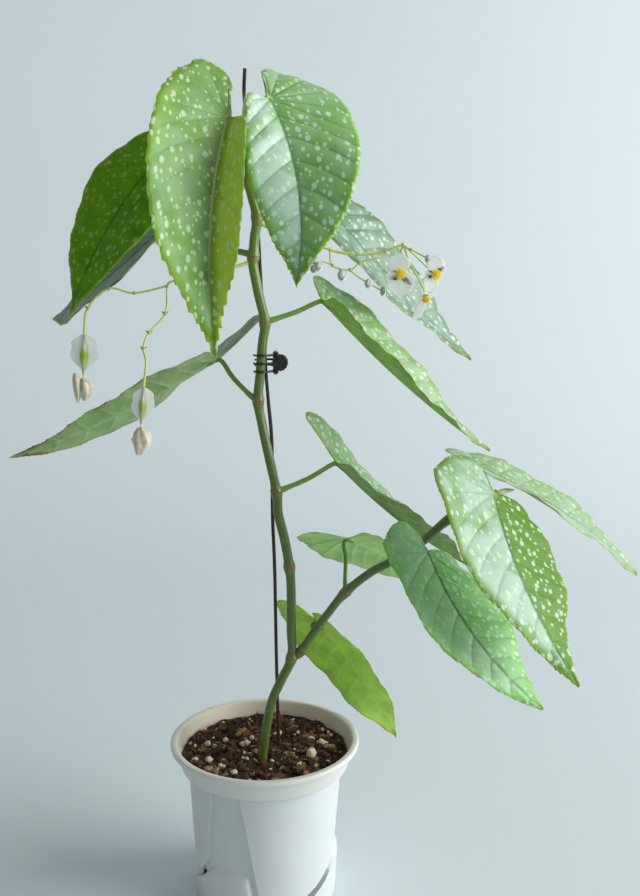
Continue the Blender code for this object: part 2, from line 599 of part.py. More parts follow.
def bark_and_perlite():
    """Chips of bark and beads of perlite, half sunk in the surface along a sunflower's spiral."""
    draw = np.random.default_rng(7)
    pieces = []
    for number in range(BARK_COUNT + PERLITE_COUNT):
        turn = 2 * pi * number * GOLDEN_SHARE
        reach = SPREAD_RADIUS * np.sqrt((number + 0.7) / (BARK_COUNT + PERLITE_COUNT))
        x, y = reach * cos(turn), reach * sin(turn)
        if number % 5 in (1, 3) and number < PERLITE_COUNT * 2.5:
            size = draw.uniform(1.6, 2.8)
            bead = ball((x, y, soil_height(x, y) + BEAD_RISE * size), (size, 0.8 * size), 6, 4)
            pieces.append(solid("perlite", bead))
        else:
            heading = draw.uniform(0, pi)
            lean = draw.uniform(-BARK_LEAN, BARK_LEAN)
            size = (draw.uniform(6, 12), draw.uniform(3.5, 6), draw.uniform(1.8, 3))
            place = (x, y, soil_height(x, y) + CHIP_RISE)
            chip = box(place, size, (cos(heading), sin(heading), lean), (0, lean, 1))
            pieces.append(solid("bark", chip))
    return pieces


def cane_radii(points, nodes, radius, node_radius, tip_radius, taper_from):
    """The radius along a cane: swollen at its nodes, and thinner from taper_from to its tip."""
    radii = []
    for z in points[:, 2]:
        near = min(abs(z - node) for node in nodes)
        swell = np.exp(-((near / NODE_LENGTH) ** 2))
        thin = np.interp(z, (taper_from, points[-1, 2]), (0.0, 1.0))
        body = radius + (tip_radius - radius) * thin
        radii.append(body + (node_radius - radius) * swell)
    return np.array(radii)


def lengthened(points, extra):
    """The path with its first point moved out by extra."""
    first = points[:1] + extra * unit(points[0] - points[1])
    return np.vstack([first, points[1:]])


def cane_shape(extra=0.0):
    """The main cane's tube. extra makes it fatter, for the clearance that other pieces keep."""
    points = smooth_path(CANE, 48)
    radii = cane_radii(points, CANE_NODES, CANE_RADIUS, NODE_RADIUS, TIP_RADIUS, TAPER_Z)
    return tube(lengthened(points, extra), radii + extra, CANE_SIDES)


def branch_shape(extra=0.0):
    points = smooth_path(BRANCH, 25)
    sizes = (BRANCH_RADIUS, BRANCH_NODE_RADIUS, BRANCH_TIP_RADIUS)
    radii = cane_radii(points, BRANCH_NODES, *sizes, BRANCH_TAPER_Z)
    return tube(lengthened(points, extra), radii + extra, CANE_SIDES - 1)


def stick_shape(extra=0.0):
    return tube(lengthened(smooth_path(STICK, 20), extra), STICK_RADIUS + extra, 6)


def cane_clearance():
    """Cutters that hold every stalk GAP away from the cane and its branch."""
    return [solid("cane_room", cane_shape(1.1 * GAP)), solid("branch_room", branch_shape(1.1 * GAP))]


def make_cane(finish):
    cane = solid("cane", cane_shape(), finish)
    return join(cane, [solid("branch", branch_shape())])


def half_outline(length, width, lobe, widest, taper, samples=160):
    """One half of a flat blade as (along, out) points, from its base round the lobe to the tip."""
    wide = widest * length
    rest = length - wide
    points = (
        (0, 0), (-0.50 * lobe, 0.04 * width), (-0.86 * lobe, 0.16 * width), (-lobe, 0.38 * width),
        (-0.80 * lobe, 0.66 * width), (0.40 * wide - 0.30 * lobe, 0.92 * width), (wide, width),
        (wide + 0.33 * rest, 0.84 * width), (wide + 0.62 * rest, 0.9 * (0.28 + taper) * width),
        (wide + 0.85 * rest, 0.62 * taper * width), (length, 0),
    )
    edge = smooth_path(points, samples)
    edge[:, 1] = np.maximum(edge[:, 1], SINUS * np.maximum(-edge[:, 0], 0))
    return edge


class Blade:
    """Places a flat blade's points, along and out from its midrib, on the bent blade in space."""

    def __init__(self, leaf):
        self.leaf = leaf
        self.base = np.asarray(leaf.base, float)
        chord = np.asarray(leaf.tip, float) - self.base
        self.way = unit(chord)
        facing = np.asarray(leaf.facing, float)
        self.up = unit(facing - self.way * (facing @ self.way))
        self.across = np.cross(self.up, self.way)
        self.bend = radians(leaf.arch)
        half = self.bend / 2
        self.length = np.linalg.norm(chord) * (half / sin(half) if half else 1.0)

    def frame(self, along):
        """The midrib's place at a distance along it, with the blade's own up and across there."""
        leaf, share = self.leaf, along / self.length
        turn = self.bend * (0.5 - max(share, -0.35))
        if self.bend:
            reach = self.length / self.bend * (sin(self.bend / 2) - sin(turn))
            rise = self.length / self.bend * (cos(turn) - cos(self.bend / 2))
        else:
            reach, rise = along, 0.0
        way = cos(turn) * self.way + sin(turn) * self.up
        up = cos(turn) * self.up - sin(turn) * self.way
        inside = max(share, 0.0)
        bow = 4 * leaf.sweep * share * (1 - inside)
        slope = 4 * leaf.sweep / self.length * (1 - 2 * inside)
        place = self.base + reach * self.way + rise * self.up + bow * self.across
        across = unit(self.across - slope * way)
        roll = radians(leaf.twist * min(max(share, -0.3), 1))
        return place, way, cos(roll) * up + sin(roll) * across, cos(roll) * across - sin(roll) * up

    def point(self, along, out, width, lift=0.0):
        """out is positive to the right, seen from above with the tip down."""
        place, _, up, across = self.frame(along)
        rise = radians(self.leaf.fold + self.leaf.cup * abs(out) / (2 * width))
        return place + out * cos(rise) * across + (abs(out) * sin(rise) + lift) * up


def blade_half(blade, side, width, lobe, widest):
    """The rows of one half: each runs from its vein's foot on the midrib to a tooth or notch of the edge."""
    leaf = blade.leaf
    edge = half_outline(blade.length, width, lobe, widest, leaf.taper)
    foot = edge[:, 0] - VEIN_LEAD * edge[:, 1]
    run = np.concatenate([[0], np.cumsum(np.linalg.norm(np.diff(edge, axis=0), axis=1))])
    start = max(np.nonzero(foot <= 0)[0])
    turns = np.arctan2(edge[1:, 1], edge[1:, 0])
    shoulder = 1 + max(np.nonzero(turns >= turns.max() - SHOULDER_SLACK)[0])
    first = max(run[shoulder], FIRST_PICK)
    fan = 1 + max(1, round((run[start] - first) / (run[-1] - run[start]) * STATIONS))
    picks = list(np.linspace(first, run[start], fan))
    feet = [0] * fan + list(range(1, STATIONS))
    picks += [np.interp(blade.length * k / STATIONS, foot[start:], run[start:]) for k in range(1, STATIONS)]
    rows = []
    for number, (pick, station) in enumerate(zip(picks, feet)):
        inner = blade.length * station / STATIONS
        out = np.array([np.interp(pick, run, edge[:, 0]), np.interp(pick, run, edge[:, 1])])
        tooth = 1 + (TOOTH if number % 2 else -0.4 * TOOTH) / max(np.hypot(*out), 12)
        wave = leaf.wave * sin(2 * pi * WAVES * pick / run[-1] + side)
        row = []
        for share in (0.55, 1.0):
            along, reach = np.array((inner, 0.0)) * (1 - share) + out * share * (tooth if share == 1 else 1)
            row.append(blade.point(along, side * reach, width, wave * share**2))
        rows.append((station, row))
    return rows


def blade_shape(blade):
    """The whole blade as one thin closed shape, split into the same triangles above and below."""
    leaf = blade.leaf
    points = [blade.point(blade.length * k / STATIONS, 0.0, 1.0) for k in range(STATIONS + 1)]
    ribs = [RIB_DEPTH * (1 - k / STATIONS) for k in range(STATIONS + 1)]
    triangles, border = [], {}
    for side, (width, lobe, widest) in ((-1, leaf.left), (1, leaf.right)):
        grid = [[0, 0, 0]]
        for number, (station, row) in enumerate(blade_half(blade, side, width, lobe, widest)):
            numbers = [station] if number else [station, station]
            for point in row if number else row[1:]:
                numbers.append(len(points))
                points.append(point)
                ribs.append(0.0)
            grid.append(numbers)
        grid.append([STATIONS, STATIONS, STATIONS])
        for low, high in zip(grid, grid[1:]):
            for k in range(2):
                a, b, c, d = low[k], low[k + 1], high[k + 1], high[k]
                for corner in ((a, b, d), (b, c, d)):
                    if len(set(corner)) == 3:
                        triangles.append(corner if side == 1 else corner[::-1])
        border[side] = [numbers[2] for numbers in grid]
    points, ribs = np.array(points), np.array(ribs)
    normals = np.zeros_like(points)
    for corner in triangles:
        a, b, c = points[list(corner)]
        normals[list(corner)] += np.cross(b - a, c - a)
    normals /= np.linalg.norm(normals, axis=1)[:, None]
    if np.sum(normals[0] * blade.up) < 0:
        triangles = [corner[::-1] for corner in triangles]
        normals = -normals
    top = points + normals * BLADE_THICK / 2
    bottom = points - normals * (BLADE_THICK / 2 + ribs[:, None])
    count = len(points)
    faces = triangles + [tuple(count + k for k in reversed(corner)) for corner in triangles]
    loop = border[1] + border[-1][-2:0:-1]
    for a, b in zip(loop, loop[1:] + loop[:1]):
        faces.append((a, b, count + b, count + a))
    return np.vstack([top, bottom]), faces


def stalk_points(blade):
    """The leaf stalk's middle line: out of the cane, up under the blade's base and into its midrib."""
    below, way, up, _ = blade.frame(0.0)
    inner, _, inner_up, _ = blade.frame(7.0)
    points = [*blade.leaf.stalk, below - 4.5 * up - 2.5 * way, below - 1.3 * up, inner - 1.0 * inner_up]
    return smooth_path(points, STALK_POINTS)


def make_leaf(name, leaf, finish):
    blade = Blade(leaf)
    made = solid(name, blade_shape(blade), finish)
    shares = np.linspace(0, 1, STALK_POINTS)
    radii = leaf.stalk_radius * np.interp(shares, (0, 0.22, 0.78, 1), (1.25, 1.0, 0.9, 0.45))
    join(made, [solid("leaf_stalk", tube(stalk_points(blade), radii, STALK_SIDES))])
    return cut(made, cane_clearance())


def petal(base, way, facing, length, width, droop=0.15, bluntness=0.75):
    """A thin rounded petal from base along way, a little cupped, the same triangles above and below."""
    way = unit(way)
    facing = unit(np.asarray(facing, float) - way * (np.asarray(facing, float) @ way))
    across = np.cross(facing, way)
    rows = PETAL_ROWS
    points = []
    for row in range(rows + 1):
        share = row / rows
        half = width / 2 * max(sin(pi * min(share, 0.985) ** bluntness), 0.12)
        for side in (-1, 0, 1):
            lift = -droop * length * share**2 + (0.12 * half if side else 0.0)
            points.append(np.asarray(base) + share * length * way + side * half * across + lift * facing)
    count = len(points)
    upper = [np.asarray(p) + PETAL_THICK / 2 * facing for p in points]
    lower = [np.asarray(p) - PETAL_THICK / 2 * facing for p in points]
    faces = []
    for row in range(rows):
        for side in (0, 1):
            a = 3 * row + side
            for corner in ((a, a + 1, a + 4), (a, a + 4, a + 3)):
                faces += [corner, tuple(count + k for k in reversed(corner))]
    loop = [0, 1, 2] + [3 * row + 2 for row in range(1, rows + 1)] + [3 * rows + 1, 3 * rows]
    loop += [3 * row for row in range(rows - 1, 0, -1)]
    for a, b in zip(loop, loop[1:] + loop[:1]):
        faces.append((a, b, count + b, count + a))
    return upper + lower, faces


def make_pod(name, top, foot, width, wilted, finish):
    """A seed pod: a slim core with three wings on an axis, and the wilted petals that hang below."""
    top = np.asarray(top, float) - (0, 0, GAP)
    drop = np.asarray(foot, float) - top
    length = np.linalg.norm(drop)
    axis = [top + share * drop for share in AXIS_SHARES]
    swell = width / PODS["pod_left"][2]
    pod = solid(name, tube(axis, [max(swell * radius, AXIS_RADII[0]) for radius in AXIS_RADII], 6), finish)
    parts = []
    reach = WING_REACH * width
    for turn in POD_TURNS:
        out = np.array((cos(radians(turn)), sin(radians(turn)), 0))
        facing = np.array((-out[1], out[0], 0.0))
        start = top + 0.03 * drop + (0.3 + WING_START * reach) * out
        wing = petal(start, drop, facing, WING_LENGTH * length, WING_SPREAD * reach, 0.0, 0.85)
        parts.append(solid("wing", wing))
    for high, low, radius in wilted:
        points = smooth_path([high, low], len(WILTED_SHARES))
        parts.append(solid("wilted", tube(points, radius * np.array(WILTED_SHARES), 7)))
    return join(pod, parts)


def make_bloom(name, centre, facing, stamens, petals, petal_finish, stamen_finish):
    """A flower: broad and narrow petals round its middle, and a ball of stamens in front."""
    facing = unit(facing)
    up = unit(np.array((0, 0, 1.0)) - facing * facing[2])
    across = np.cross(up, facing)
    centre = np.asarray(centre, float)
    bloom = solid(name, ball(centre, (1.7, BLOOM_DEPTH), 6, 4, facing), petal_finish)
    parts = []
    for turn, length, width in petals:
        way = cos(radians(turn)) * across + sin(radians(turn)) * up
        shape = petal(centre + 0.3 * way, way + 0.25 * facing, facing, length, width, -0.12)
        parts.append(solid("petal", shape))
    join(bloom, parts)
    cluster = ball(centre + (BLOOM_DEPTH + GAP + stamens) * facing, (0.95 * stamens, stamens), 7, 5, facing)
    solid(name.replace("bloom", "stamens"), cluster, stamen_finish)


def make_stalk(name, stalk, twigs, lumps, finish):
    """A flower stalk with its twigs, and the joints or buds along them."""
    radii = np.linspace(1.25, 0.9, STALK_POINTS) * STALK_RADIUS
    made = solid(name, tube(smooth_path(stalk, STALK_POINTS), radii, 5), finish)
    parts = [solid("twig", tube(smooth_path(twig, TWIG_POINTS), TWIG_RADIUS, 4)) for twig in twigs]
    parts += [solid("lump", ball(place, size, 5, 3)) for place, size in lumps]
    join(made, parts)
    return cut(made, cane_clearance())


def bracts(place):
    """Two small pointed scales at a joint."""
    place = np.asarray(place, float)
    return [petal(place, (side, 0.3, 0.4), (0.2, -1, 0.4), 3.4, 1.7, 0.1) for side in (-1, 1)]


def make_left_stalk(finish):
    lumps = [(place, JOINT_RADII) for place in LEFT_JOINTS]
    made = make_stalk("flower_stalk_left", LEFT_STALK, LEFT_TWIGS, lumps, finish)
    scales = [solid("bract", shape) for place in (LEFT_JOINTS[3], LEFT_JOINTS[6]) for shape in bracts(place)]
    return join(made, scales)


def make_right_stalk(finish):
    lumps = [(place, size) for place, *size in BUDS]
    lumps += [(place, JOINT_RADII) for place in RIGHT_JOINTS]
    twigs = list(RIGHT_TWIGS)
    for name, path in BLOOM_TWIGS.items():
        centre, facing = BLOOMS[name][:2]
        back = -unit(facing)
        twigs.append((*path, centre + (BLOOM_DEPTH + 3) * back, centre + (BLOOM_DEPTH + GAP) * back))
    return make_stalk("flower_stalk_right", RIGHT_STALK, twigs, lumps, finish)


def make_sheath(name, foot, tip, width, finish):
    """A young leaf still rolled in its sheath: a slim pointed lump just above the end of a stem."""
    foot, tip = np.asarray(foot, float), np.asarray(tip, float)
    way = unit(tip - foot)
    half = (np.linalg.norm(tip - foot) - GAP) / 2
    return solid(name, ball(foot + (GAP + half) * way, (width, half), 7, 6, way), finish)


def claw(path, height):
    """A claw along a level path, thinner towards its hooked end."""
    points = smooth_path([(*spot, height) for spot in path], CLAW_POINTS)
    return solid("claw", tube(points, np.linspace(1.0, 0.65, CLAW_POINTS) * CLAW_RADIUS, 5))


def front_claw_path(start):
    """From a place beside the pin round the front of the cane to a hook on its far side."""
    turns = np.radians(FRONT_CLAW_TURNS)
    bend = np.asarray(CLAW_CENTRE) + CLAW_RING * np.stack([np.cos(turns), np.sin(turns)], axis=1)
    return [start, *bend]


def scalloped_disc(centre):
    """A thumb pad that faces the front: a round plate with a scalloped edge."""
    count = 2 * PAD_SCALLOPS
    corners, faces = [], []
    for level in (-0.5, 0.5):
        corners.append(np.asarray(centre) + (0, level * PAD_THICK, 0))
        for k in range(count):
            reach = PAD_RADIUS - PAD_NOTCH * (k % 2)
            turn = 2 * pi * k / count
            corners.append(corners[-1 - k] + (reach * cos(turn), 0, reach * sin(turn)))
    back = count + 1
    for k in range(count):
        a, b = 1 + k, 1 + (k + 1) % count
        faces += [(0, a, b), (back, back + b, back + a), (a, back + a, back + b, b)]
    return corners, faces


def make_jaw(name, side, spans, claws, heights, finish):
    """One half of the clip: barrels, claws and a round thumb pad. side is -1 in front and 1 behind."""
    barrels = [solid("barrel", tube([(*PIN, low), (*PIN, high)], BARREL_RADIUS, 10)) for low, high in spans]
    parts = list(claws)
    middle = (CLIP_LOW + CLIP_HIGH) / 2
    height = CLIP_HIGH - CLIP_LOW
    right, upright = (1, 0, 0), (0, 0, 1)
    pad = (PIN[0] + PAD_SHIFT, PIN[1] + side * PAD_OUT, middle)
    parts.append(solid("pad", scalloped_disc(pad)))
    neck = (PIN[0] + PAD_NECK[0] / 2, PIN[1] + side * (BAR_OUT + PAD_OUT) / 2, middle)
    parts.append(solid("neck", box(neck, PAD_NECK, right, upright)))
    for low, high in spans:
        web = (PIN[0], PIN[1] + side * WEB_OUT, (low + high) / 2)
        parts.append(solid("web", box(web, (*WEB_SIZE, high - low), right, upright)))
    for z in heights:
        knee = (PIN[0] + KNEE_SHIFT, PIN[1] + side * KNEE_OUT, z)
        parts.append(solid("knee", box(knee, KNEE_SIZE, right, upright)))
    bar = (PIN[0] + BAR_SHIFT, PIN[1] + side * BAR_OUT, middle)
    parts.append(solid("bar", box(bar, (*BAR_SIZE, height), right, upright)))
    first = barrels[0]
    first.name = name
    first.data.materials.append(finish)
    join(first, barrels[1:] + parts)
    hole = tube([(*PIN, CLIP_LOW - 1), (*PIN, CLIP_HIGH + 1)], BARREL_HOLE, 8)
    return cut(first, [solid("hole", hole)])


def make_clip(finish, metal):
    height = CLIP_HIGH - CLIP_LOW
    low, high = CLIP_LOW + 0.3 * height, CLIP_HIGH - 0.3 * height
    ends = ((CLIP_LOW, low - GAP / 2), (high + GAP / 2, CLIP_HIGH))
    outer = front_claw_path((PIN[0] - 0.6, PIN[1] - 1.5))
    claws = [claw(outer, z) for z in FRONT_CLAW_HEIGHTS]
    claws.append(claw(front_claw_path((PIN[0] + 0.2, PIN[1] - BAR_OUT - 0.25)), MIDDLE_CLAW_HEIGHT))
    make_jaw("clip_front", -1, ends, claws, FRONT_CLAW_HEIGHTS, finish)
    claws = [claw(BACK_CLAW, z) for z in BACK_CLAW_HEIGHTS]
    make_jaw("clip_back", 1, ((low + GAP / 2, high - GAP / 2),), claws, BACK_CLAW_HEIGHTS, finish)
    head, thick = PIN_HEAD
    ends = [CLIP_LOW - GAP - thick, CLIP_LOW - GAP, CLIP_LOW - GAP, CLIP_HIGH + GAP, CLIP_HIGH + GAP,
            CLIP_HIGH + GAP + thick]
    radii = (head, head, PIN_RADIUS, PIN_RADIUS, head, head)
    solid("clip_pin", tube([(*PIN, z) for z in ends], radii, 8), metal)


def main():
    for old in list(bpy.data.objects):
        bpy.data.objects.remove(old)
    leaf_green = material("leaf", (0.13, 0.34, 0.05), 0.4)
    make_pot(material("pot_plastic", (0.68, 0.66, 0.60), 0.4))
    holes = [solid("cane_hole", cane_shape(1.1 * GAP)), solid("stick_hole", stick_shape(1.2 * GAP))]
    make_soil(material("potting_mix", (0.05, 0.02, 0.015), 0.95), *holes)
    make_cane(material("cane_green", (0.10, 0.20, 0.04), 0.5))
    for name, leaf in LEAVES.items():
        make_leaf(name, leaf, leaf_green)
    solid("support_stick", stick_shape(), material("stick", (0.03, 0.015, 0.01), 0.5))
    make_clip(material("clip_plastic", (0.02, 0.02, 0.02), 0.35), material("pin_steel", (0.5, 0.5, 0.5), 0.3))
    stalk_green = material("flower_stalk", (0.45, 0.52, 0.16), 0.5)
    white = material("petal_white", (0.80, 0.80, 0.72), 0.6)
    make_left_stalk(stalk_green)
    make_right_stalk(stalk_green)
    for name, pod in PODS.items():
        make_pod(name, *pod, white)
    yellow = material("stamen_yellow", (0.90, 0.55, 0.02), 0.6)
    for name, bloom in BLOOMS.items():
        make_bloom(name, *bloom, white, yellow)
    cream = material("young_sheath", (0.72, 0.72, 0.40), 0.5)
    for name, (foot, tip, width) in SHEATHS.items():
        make_sheath(name, foot, tip, width, cream)


main()
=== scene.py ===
# %% [markdown]
# # A potted begonia, dressed around its frame
#
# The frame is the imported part: plain solids in metres, with the origin in the middle of the pot's
# foot, +Z up and the plant's front towards -Y. This lesson leaves those solids where they are and
# puts a finer piece over each one. A finer piece could be sculpted by hand, but here each is worked
# out from the same few lengths as its solid, so that both always agree.

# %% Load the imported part
import json
from dataclasses import dataclass
from math import atan, cos, degrees, pi, radians, sin

import bmesh
import bpy
import numpy as np
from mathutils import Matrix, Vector, noise

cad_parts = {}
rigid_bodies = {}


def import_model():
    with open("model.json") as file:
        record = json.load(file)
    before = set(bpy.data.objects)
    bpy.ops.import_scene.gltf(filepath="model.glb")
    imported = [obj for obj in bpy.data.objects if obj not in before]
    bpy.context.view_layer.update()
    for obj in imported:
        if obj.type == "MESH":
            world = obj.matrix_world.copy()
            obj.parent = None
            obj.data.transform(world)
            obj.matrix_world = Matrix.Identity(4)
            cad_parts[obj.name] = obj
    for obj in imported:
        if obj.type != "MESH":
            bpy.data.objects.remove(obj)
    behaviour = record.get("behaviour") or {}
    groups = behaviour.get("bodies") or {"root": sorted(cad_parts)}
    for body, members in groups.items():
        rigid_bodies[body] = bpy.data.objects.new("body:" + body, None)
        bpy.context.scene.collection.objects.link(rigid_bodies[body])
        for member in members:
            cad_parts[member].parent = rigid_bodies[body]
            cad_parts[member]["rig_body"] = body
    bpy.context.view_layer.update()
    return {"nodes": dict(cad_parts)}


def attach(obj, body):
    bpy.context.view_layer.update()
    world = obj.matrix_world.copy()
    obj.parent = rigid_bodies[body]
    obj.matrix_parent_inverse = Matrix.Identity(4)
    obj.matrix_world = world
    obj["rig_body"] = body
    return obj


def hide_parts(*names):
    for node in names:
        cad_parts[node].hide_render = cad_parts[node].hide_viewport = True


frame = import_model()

MM = 0.001
SEAT = 0.3  # the gap, in millimetres, that touching pieces keep
print("solids in the frame:", len(frame["nodes"]))

# %% [markdown]
# ## A few small tools
#
# All lengths below are in millimetres, as a gardener would measure them, and turn into metres where
# a mesh is made. A curve through given points could be a Bezier with handles; a Catmull-Rom curve
# needs no handles, so a stem is just the list of places it passes.


# %% Curves
def unit(vector):
    vector = np.asarray(vector, float)
    return vector / np.linalg.norm(vector, axis=-1, keepdims=True)


def around(sides):
    """Angles spread evenly round a circle."""
    return np.linspace(0, 2 * pi, sides, endpoint=False)


def distances(points):
    """How far along its path each point lies."""
    return np.concatenate([[0], np.cumsum(np.linalg.norm(np.diff(points, axis=0), axis=1))])


def smooth_path(points, count):
    """count points spaced evenly along a smooth curve through the given ones."""
    p = np.asarray(points, float)
    p = np.vstack([2 * p[0] - p[1], p, 2 * p[-1] - p[-2]])
    steps = np.linspace(0, 1, 17)[:-1, None]
    curve = []
    for a, b, c, d in zip(p, p[1:], p[2:], p[3:]):
        bend = 2 * a - 5 * b + 4 * c - d
        twist = 3 * b - a - 3 * c + d
        curve.append(b + 0.5 * ((c - a) * steps + bend * steps**2 + twist * steps**3))
    curve = np.vstack(curve + [p[-2:-1]])
    run = distances(curve)
    want = np.linspace(0, run[-1], count)
    return np.stack([np.interp(want, run, column) for column in curve.T], axis=1)


def eased(value, low, high):
    """0 below low, 1 above high, and a smooth rise between."""
    share = np.clip((value - low) / (high - low), 0, 1)
    return share * share * (3 - 2 * share)


print("a straight path of 3:", smooth_path([(0, 0, 0), (0, 0, 10)], 3)[:, 2])

# %% [markdown]
# Every visible piece goes through one function. It makes the mesh, keeps the marks that its finish
# reads (where a point lies on a leaf, how near it is to a vein), lets it ride on the same body as
# the solid it stands for, and hides that solid.


# %% One function for every piece
def outward_mesh(name, shape):
    """A mesh in metres from a shape in millimetres, with its faces looking outward."""
    corners, faces = shape
    mesh = bpy.data.meshes.new(name)
    mesh.from_pydata([tuple(corner) for corner in MM * np.asarray(corners)], [], faces)
    work = bmesh.new()
    work.from_mesh(mesh)
    bmesh.ops.recalc_face_normals(work, faces=work.faces)
    work.to_mesh(mesh)
    work.free()
    return mesh


def soften(mesh, crease):
    """Smooth shading, broken where two faces meet at more than crease degrees."""
    mesh.shade_smooth()
    mesh.set_sharp_from_angle(angle=radians(crease))


def placed(name, data):
    made = bpy.data.objects.new(name, data)
    bpy.context.scene.collection.objects.link(made)
    return made


def piece(name, shape, finishes, stands_for, slot, hides=True, numbers=None, marks=None, crease=42):
    mesh = outward_mesh(name, shape)
    for finish in finishes:
        mesh.materials.append(finish)
    if numbers is not None:
        mesh.polygons.foreach_set("material_index", np.asarray(numbers, np.int32))
    for label, values in (marks or {}).items():
        kept = mesh.attributes.new(label, "FLOAT_VECTOR", "POINT")
        kept.data.foreach_set("vector", np.asarray(values, np.float32).ravel())
    soften(mesh, crease)
    made = placed(name, mesh)
    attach(made, frame["nodes"][stands_for]["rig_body"])
    if hides:
        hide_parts(stands_for)
    print(f"{name}: {len(mesh.polygons)} faces")
    return made


def gather(shapes):
    """Several (corners, faces) shapes as one, with the number of the shape for each corner."""
    corners, faces, owner, start = [], [], [], 0
    for number, (these, its) in enumerate(shapes):
        corners.append(np.asarray(these, float))
        faces += [tuple(start + k for k in face) for face in its]
        owner += [number] * len(these)
        start += len(these)
    return (np.vstack(corners), faces), np.array(owner)


def marked_piece(name, parts, label, finish, stands_for, slot, **rules):
    """A piece from (shape, marks) pairs; label is what its finish calls the marks."""
    shape, _ = gather([made for made, _ in parts])
    marks = {label: np.vstack([np.asarray(marks, float) for _, marks in parts])}
    return piece(name, shape, [finish], stands_for, slot, marks=marks, **rules)


# %% [markdown]
# Stems, claws, stamens and twigs are all tubes. Blender can bevel a curve into one, but then the
# radius and the marks along it are harder to steer, so the rings are laid one by one: each ring is
# turned from the last without twist.


# %% Tubes, lumps and blocks
ASKEW = (0.31, 0.82, 0.48)  # a direction that no stem here takes


def capped_rings(rings, sides):
    """The faces of a closed skin over rings of corners, with one corner at each end."""
    last, faces = rings * sides + 1, []
    for k in range(sides):
        after = (k + 1) % sides
        faces.append((0, 1 + after, 1 + k))
        faces.append((last, last - sides + k, last - sides + after))
        for ring in range(rings - 1):
            a, b = 1 + ring * sides + k, 1 + ring * sides + after
            faces.append((a, b, b + sides, a + sides))
    return faces


def tube(points, radii, sides):
    """A closed tube: radii holds one radius a ring, or one for each corner of each ring."""
    points = np.asarray(points, float)
    radii = np.asarray(radii, float)
    if radii.ndim < 2:
        radii = np.repeat(np.broadcast_to(radii, len(points))[:, None], sides, axis=1)
    ways = unit(np.gradient(points, axis=0))
    across = unit(np.cross(ways[0], ASKEW))
    turns = around(sides)[:, None]
    rings = []
    for point, way, radius in zip(points, ways, radii):
        across = unit(across - way * (across @ way))
        side = np.cross(way, across)
        rings.append(point + radius[:, None] * (np.cos(turns) * across + np.sin(turns) * side))
    return np.vstack([points[:1], *rings, points[-1:]]), capped_rings(len(points), sides)


def tube_marks(points, sides):
    """For each corner of a tube: millimetres along it, and its place round it from 0 to 1."""
    run = distances(points)
    marks = [(0, 0, 0)]
    for distance in run:
        marks += [(distance, k / sides, 0) for k in range(sides)]
    return marks + [(run[-1], 0, 0)]


def lump(centre, radii, turns=16, rings=10, way=(0, 0, 1)):
    """A closed round lump with the given radii across and along way."""
    lifts = np.linspace(0, pi, rings + 1)[1:-1]
    axis = unit(way)
    points = [np.asarray(centre) - radii[1] * np.cos(lift) * axis for lift in lifts]
    corners, faces = tube(points, radii[0] * np.sin(lifts), turns)
    corners[0] = np.asarray(centre) - radii[1] * axis
    corners[-1] = np.asarray(centre) + radii[1] * axis
    return corners, faces


def skin_noise(heights, turns, wide=1.0):
    """Noise on a tube's skin: a row for each height, a value for each turn."""
    return np.array([[noise.noise(Vector((wide * cos(t), wide * sin(t), h))) for t in turns]
                     for h in heights])


def block(centre, size, bevel):
    """A block with rounded edges."""
    made = bmesh.new()
    bmesh.ops.create_cube(made, size=1.0)
    for vertex in made.verts:
        vertex.co = Vector(np.array(vertex.co) * np.asarray(size, float))
    bmesh.ops.bevel(made, geom=made.edges[:], offset=bevel, segments=2, affect="EDGES")
    made.verts.index_update()
    corners = [np.asarray(centre) + np.array(vertex.co) for vertex in made.verts]
    faces = [tuple(vertex.index for vertex in face.verts) for face in made.faces]
    made.free()
    return corners, faces


print("a plain tube has", len(tube([(0, 0, 0), (0, 0, 5)], 1.0, 12)[1]), "faces")

# %% [markdown]
# ## Finishes from nodes
#
# A finish is one Principled shader with nodes in front of it. The nodes could be wired one by one
# in the editor; in code it is easier to read when the finish lies on a bench, and each short call
# adds one node to it, from numbers or from another node's output.


# %% Node helpers
bench = {}  # the node tree and the shader of the finish that is being made


def colour(red, green, blue):
    """A colour as it is seen on screen (0 to 255), turned into the linear values that nodes use."""
    seen = np.array((red, green, blue)) / 255
    linear = np.where(seen <= 0.04045, seen / 12.92, ((seen + 0.055) / 1.055) ** 2.4)
    return (*map(float, linear), 1.0)


def finish(name, glow=(), **constants):
    """Lays a new material on the bench, with its shader's own sockets set to constants.

    glow says how light passes below the skin: how much, how far in metres, and each colour's share.
    """
    made = bpy.data.materials.new(name)
    made.use_nodes = True
    bench.update(tree=made.node_tree, shader=made.node_tree.nodes["Principled BSDF"])
    constants |= zip(("Subsurface_Weight", "Subsurface_Scale", "Subsurface_Radius"), glow)
    for socket, value in constants.items():
        bench["shader"].inputs[socket.replace("_", " ")].default_value = value
    return made


def feed(socket, value):
    if isinstance(value, bpy.types.NodeSocket):
        bench["tree"].links.new(value, socket)
    else:
        socket.default_value = value


def shade(name, value):
    """Feeds one of the shader's sockets."""
    feed(bench["shader"].inputs[name], value)


def node(kind, inputs=(), **settings):
    """Adds a node. inputs maps a socket's name or number to a value or to another node's output."""
    added = bench["tree"].nodes.new("ShaderNode" + kind)
    for key, value in settings.items():
        setattr(added, key, value)
    for key, value in dict(inputs).items():
        feed(added.inputs[key], value)
    return added


def maths(operation, first, second=0.0, third=0.0):
    return node("Math", {0: first, 1: second, 2: third}, operation=operation).outputs[0]


def times(first, second):
    return maths("MULTIPLY", first, second)


def blend(share, first, second):
    """first where share is 0 and second where it is 1, as colours."""
    return node("Mix", {0: share, 6: first, 7: second}, data_type="RGBA").outputs[2]


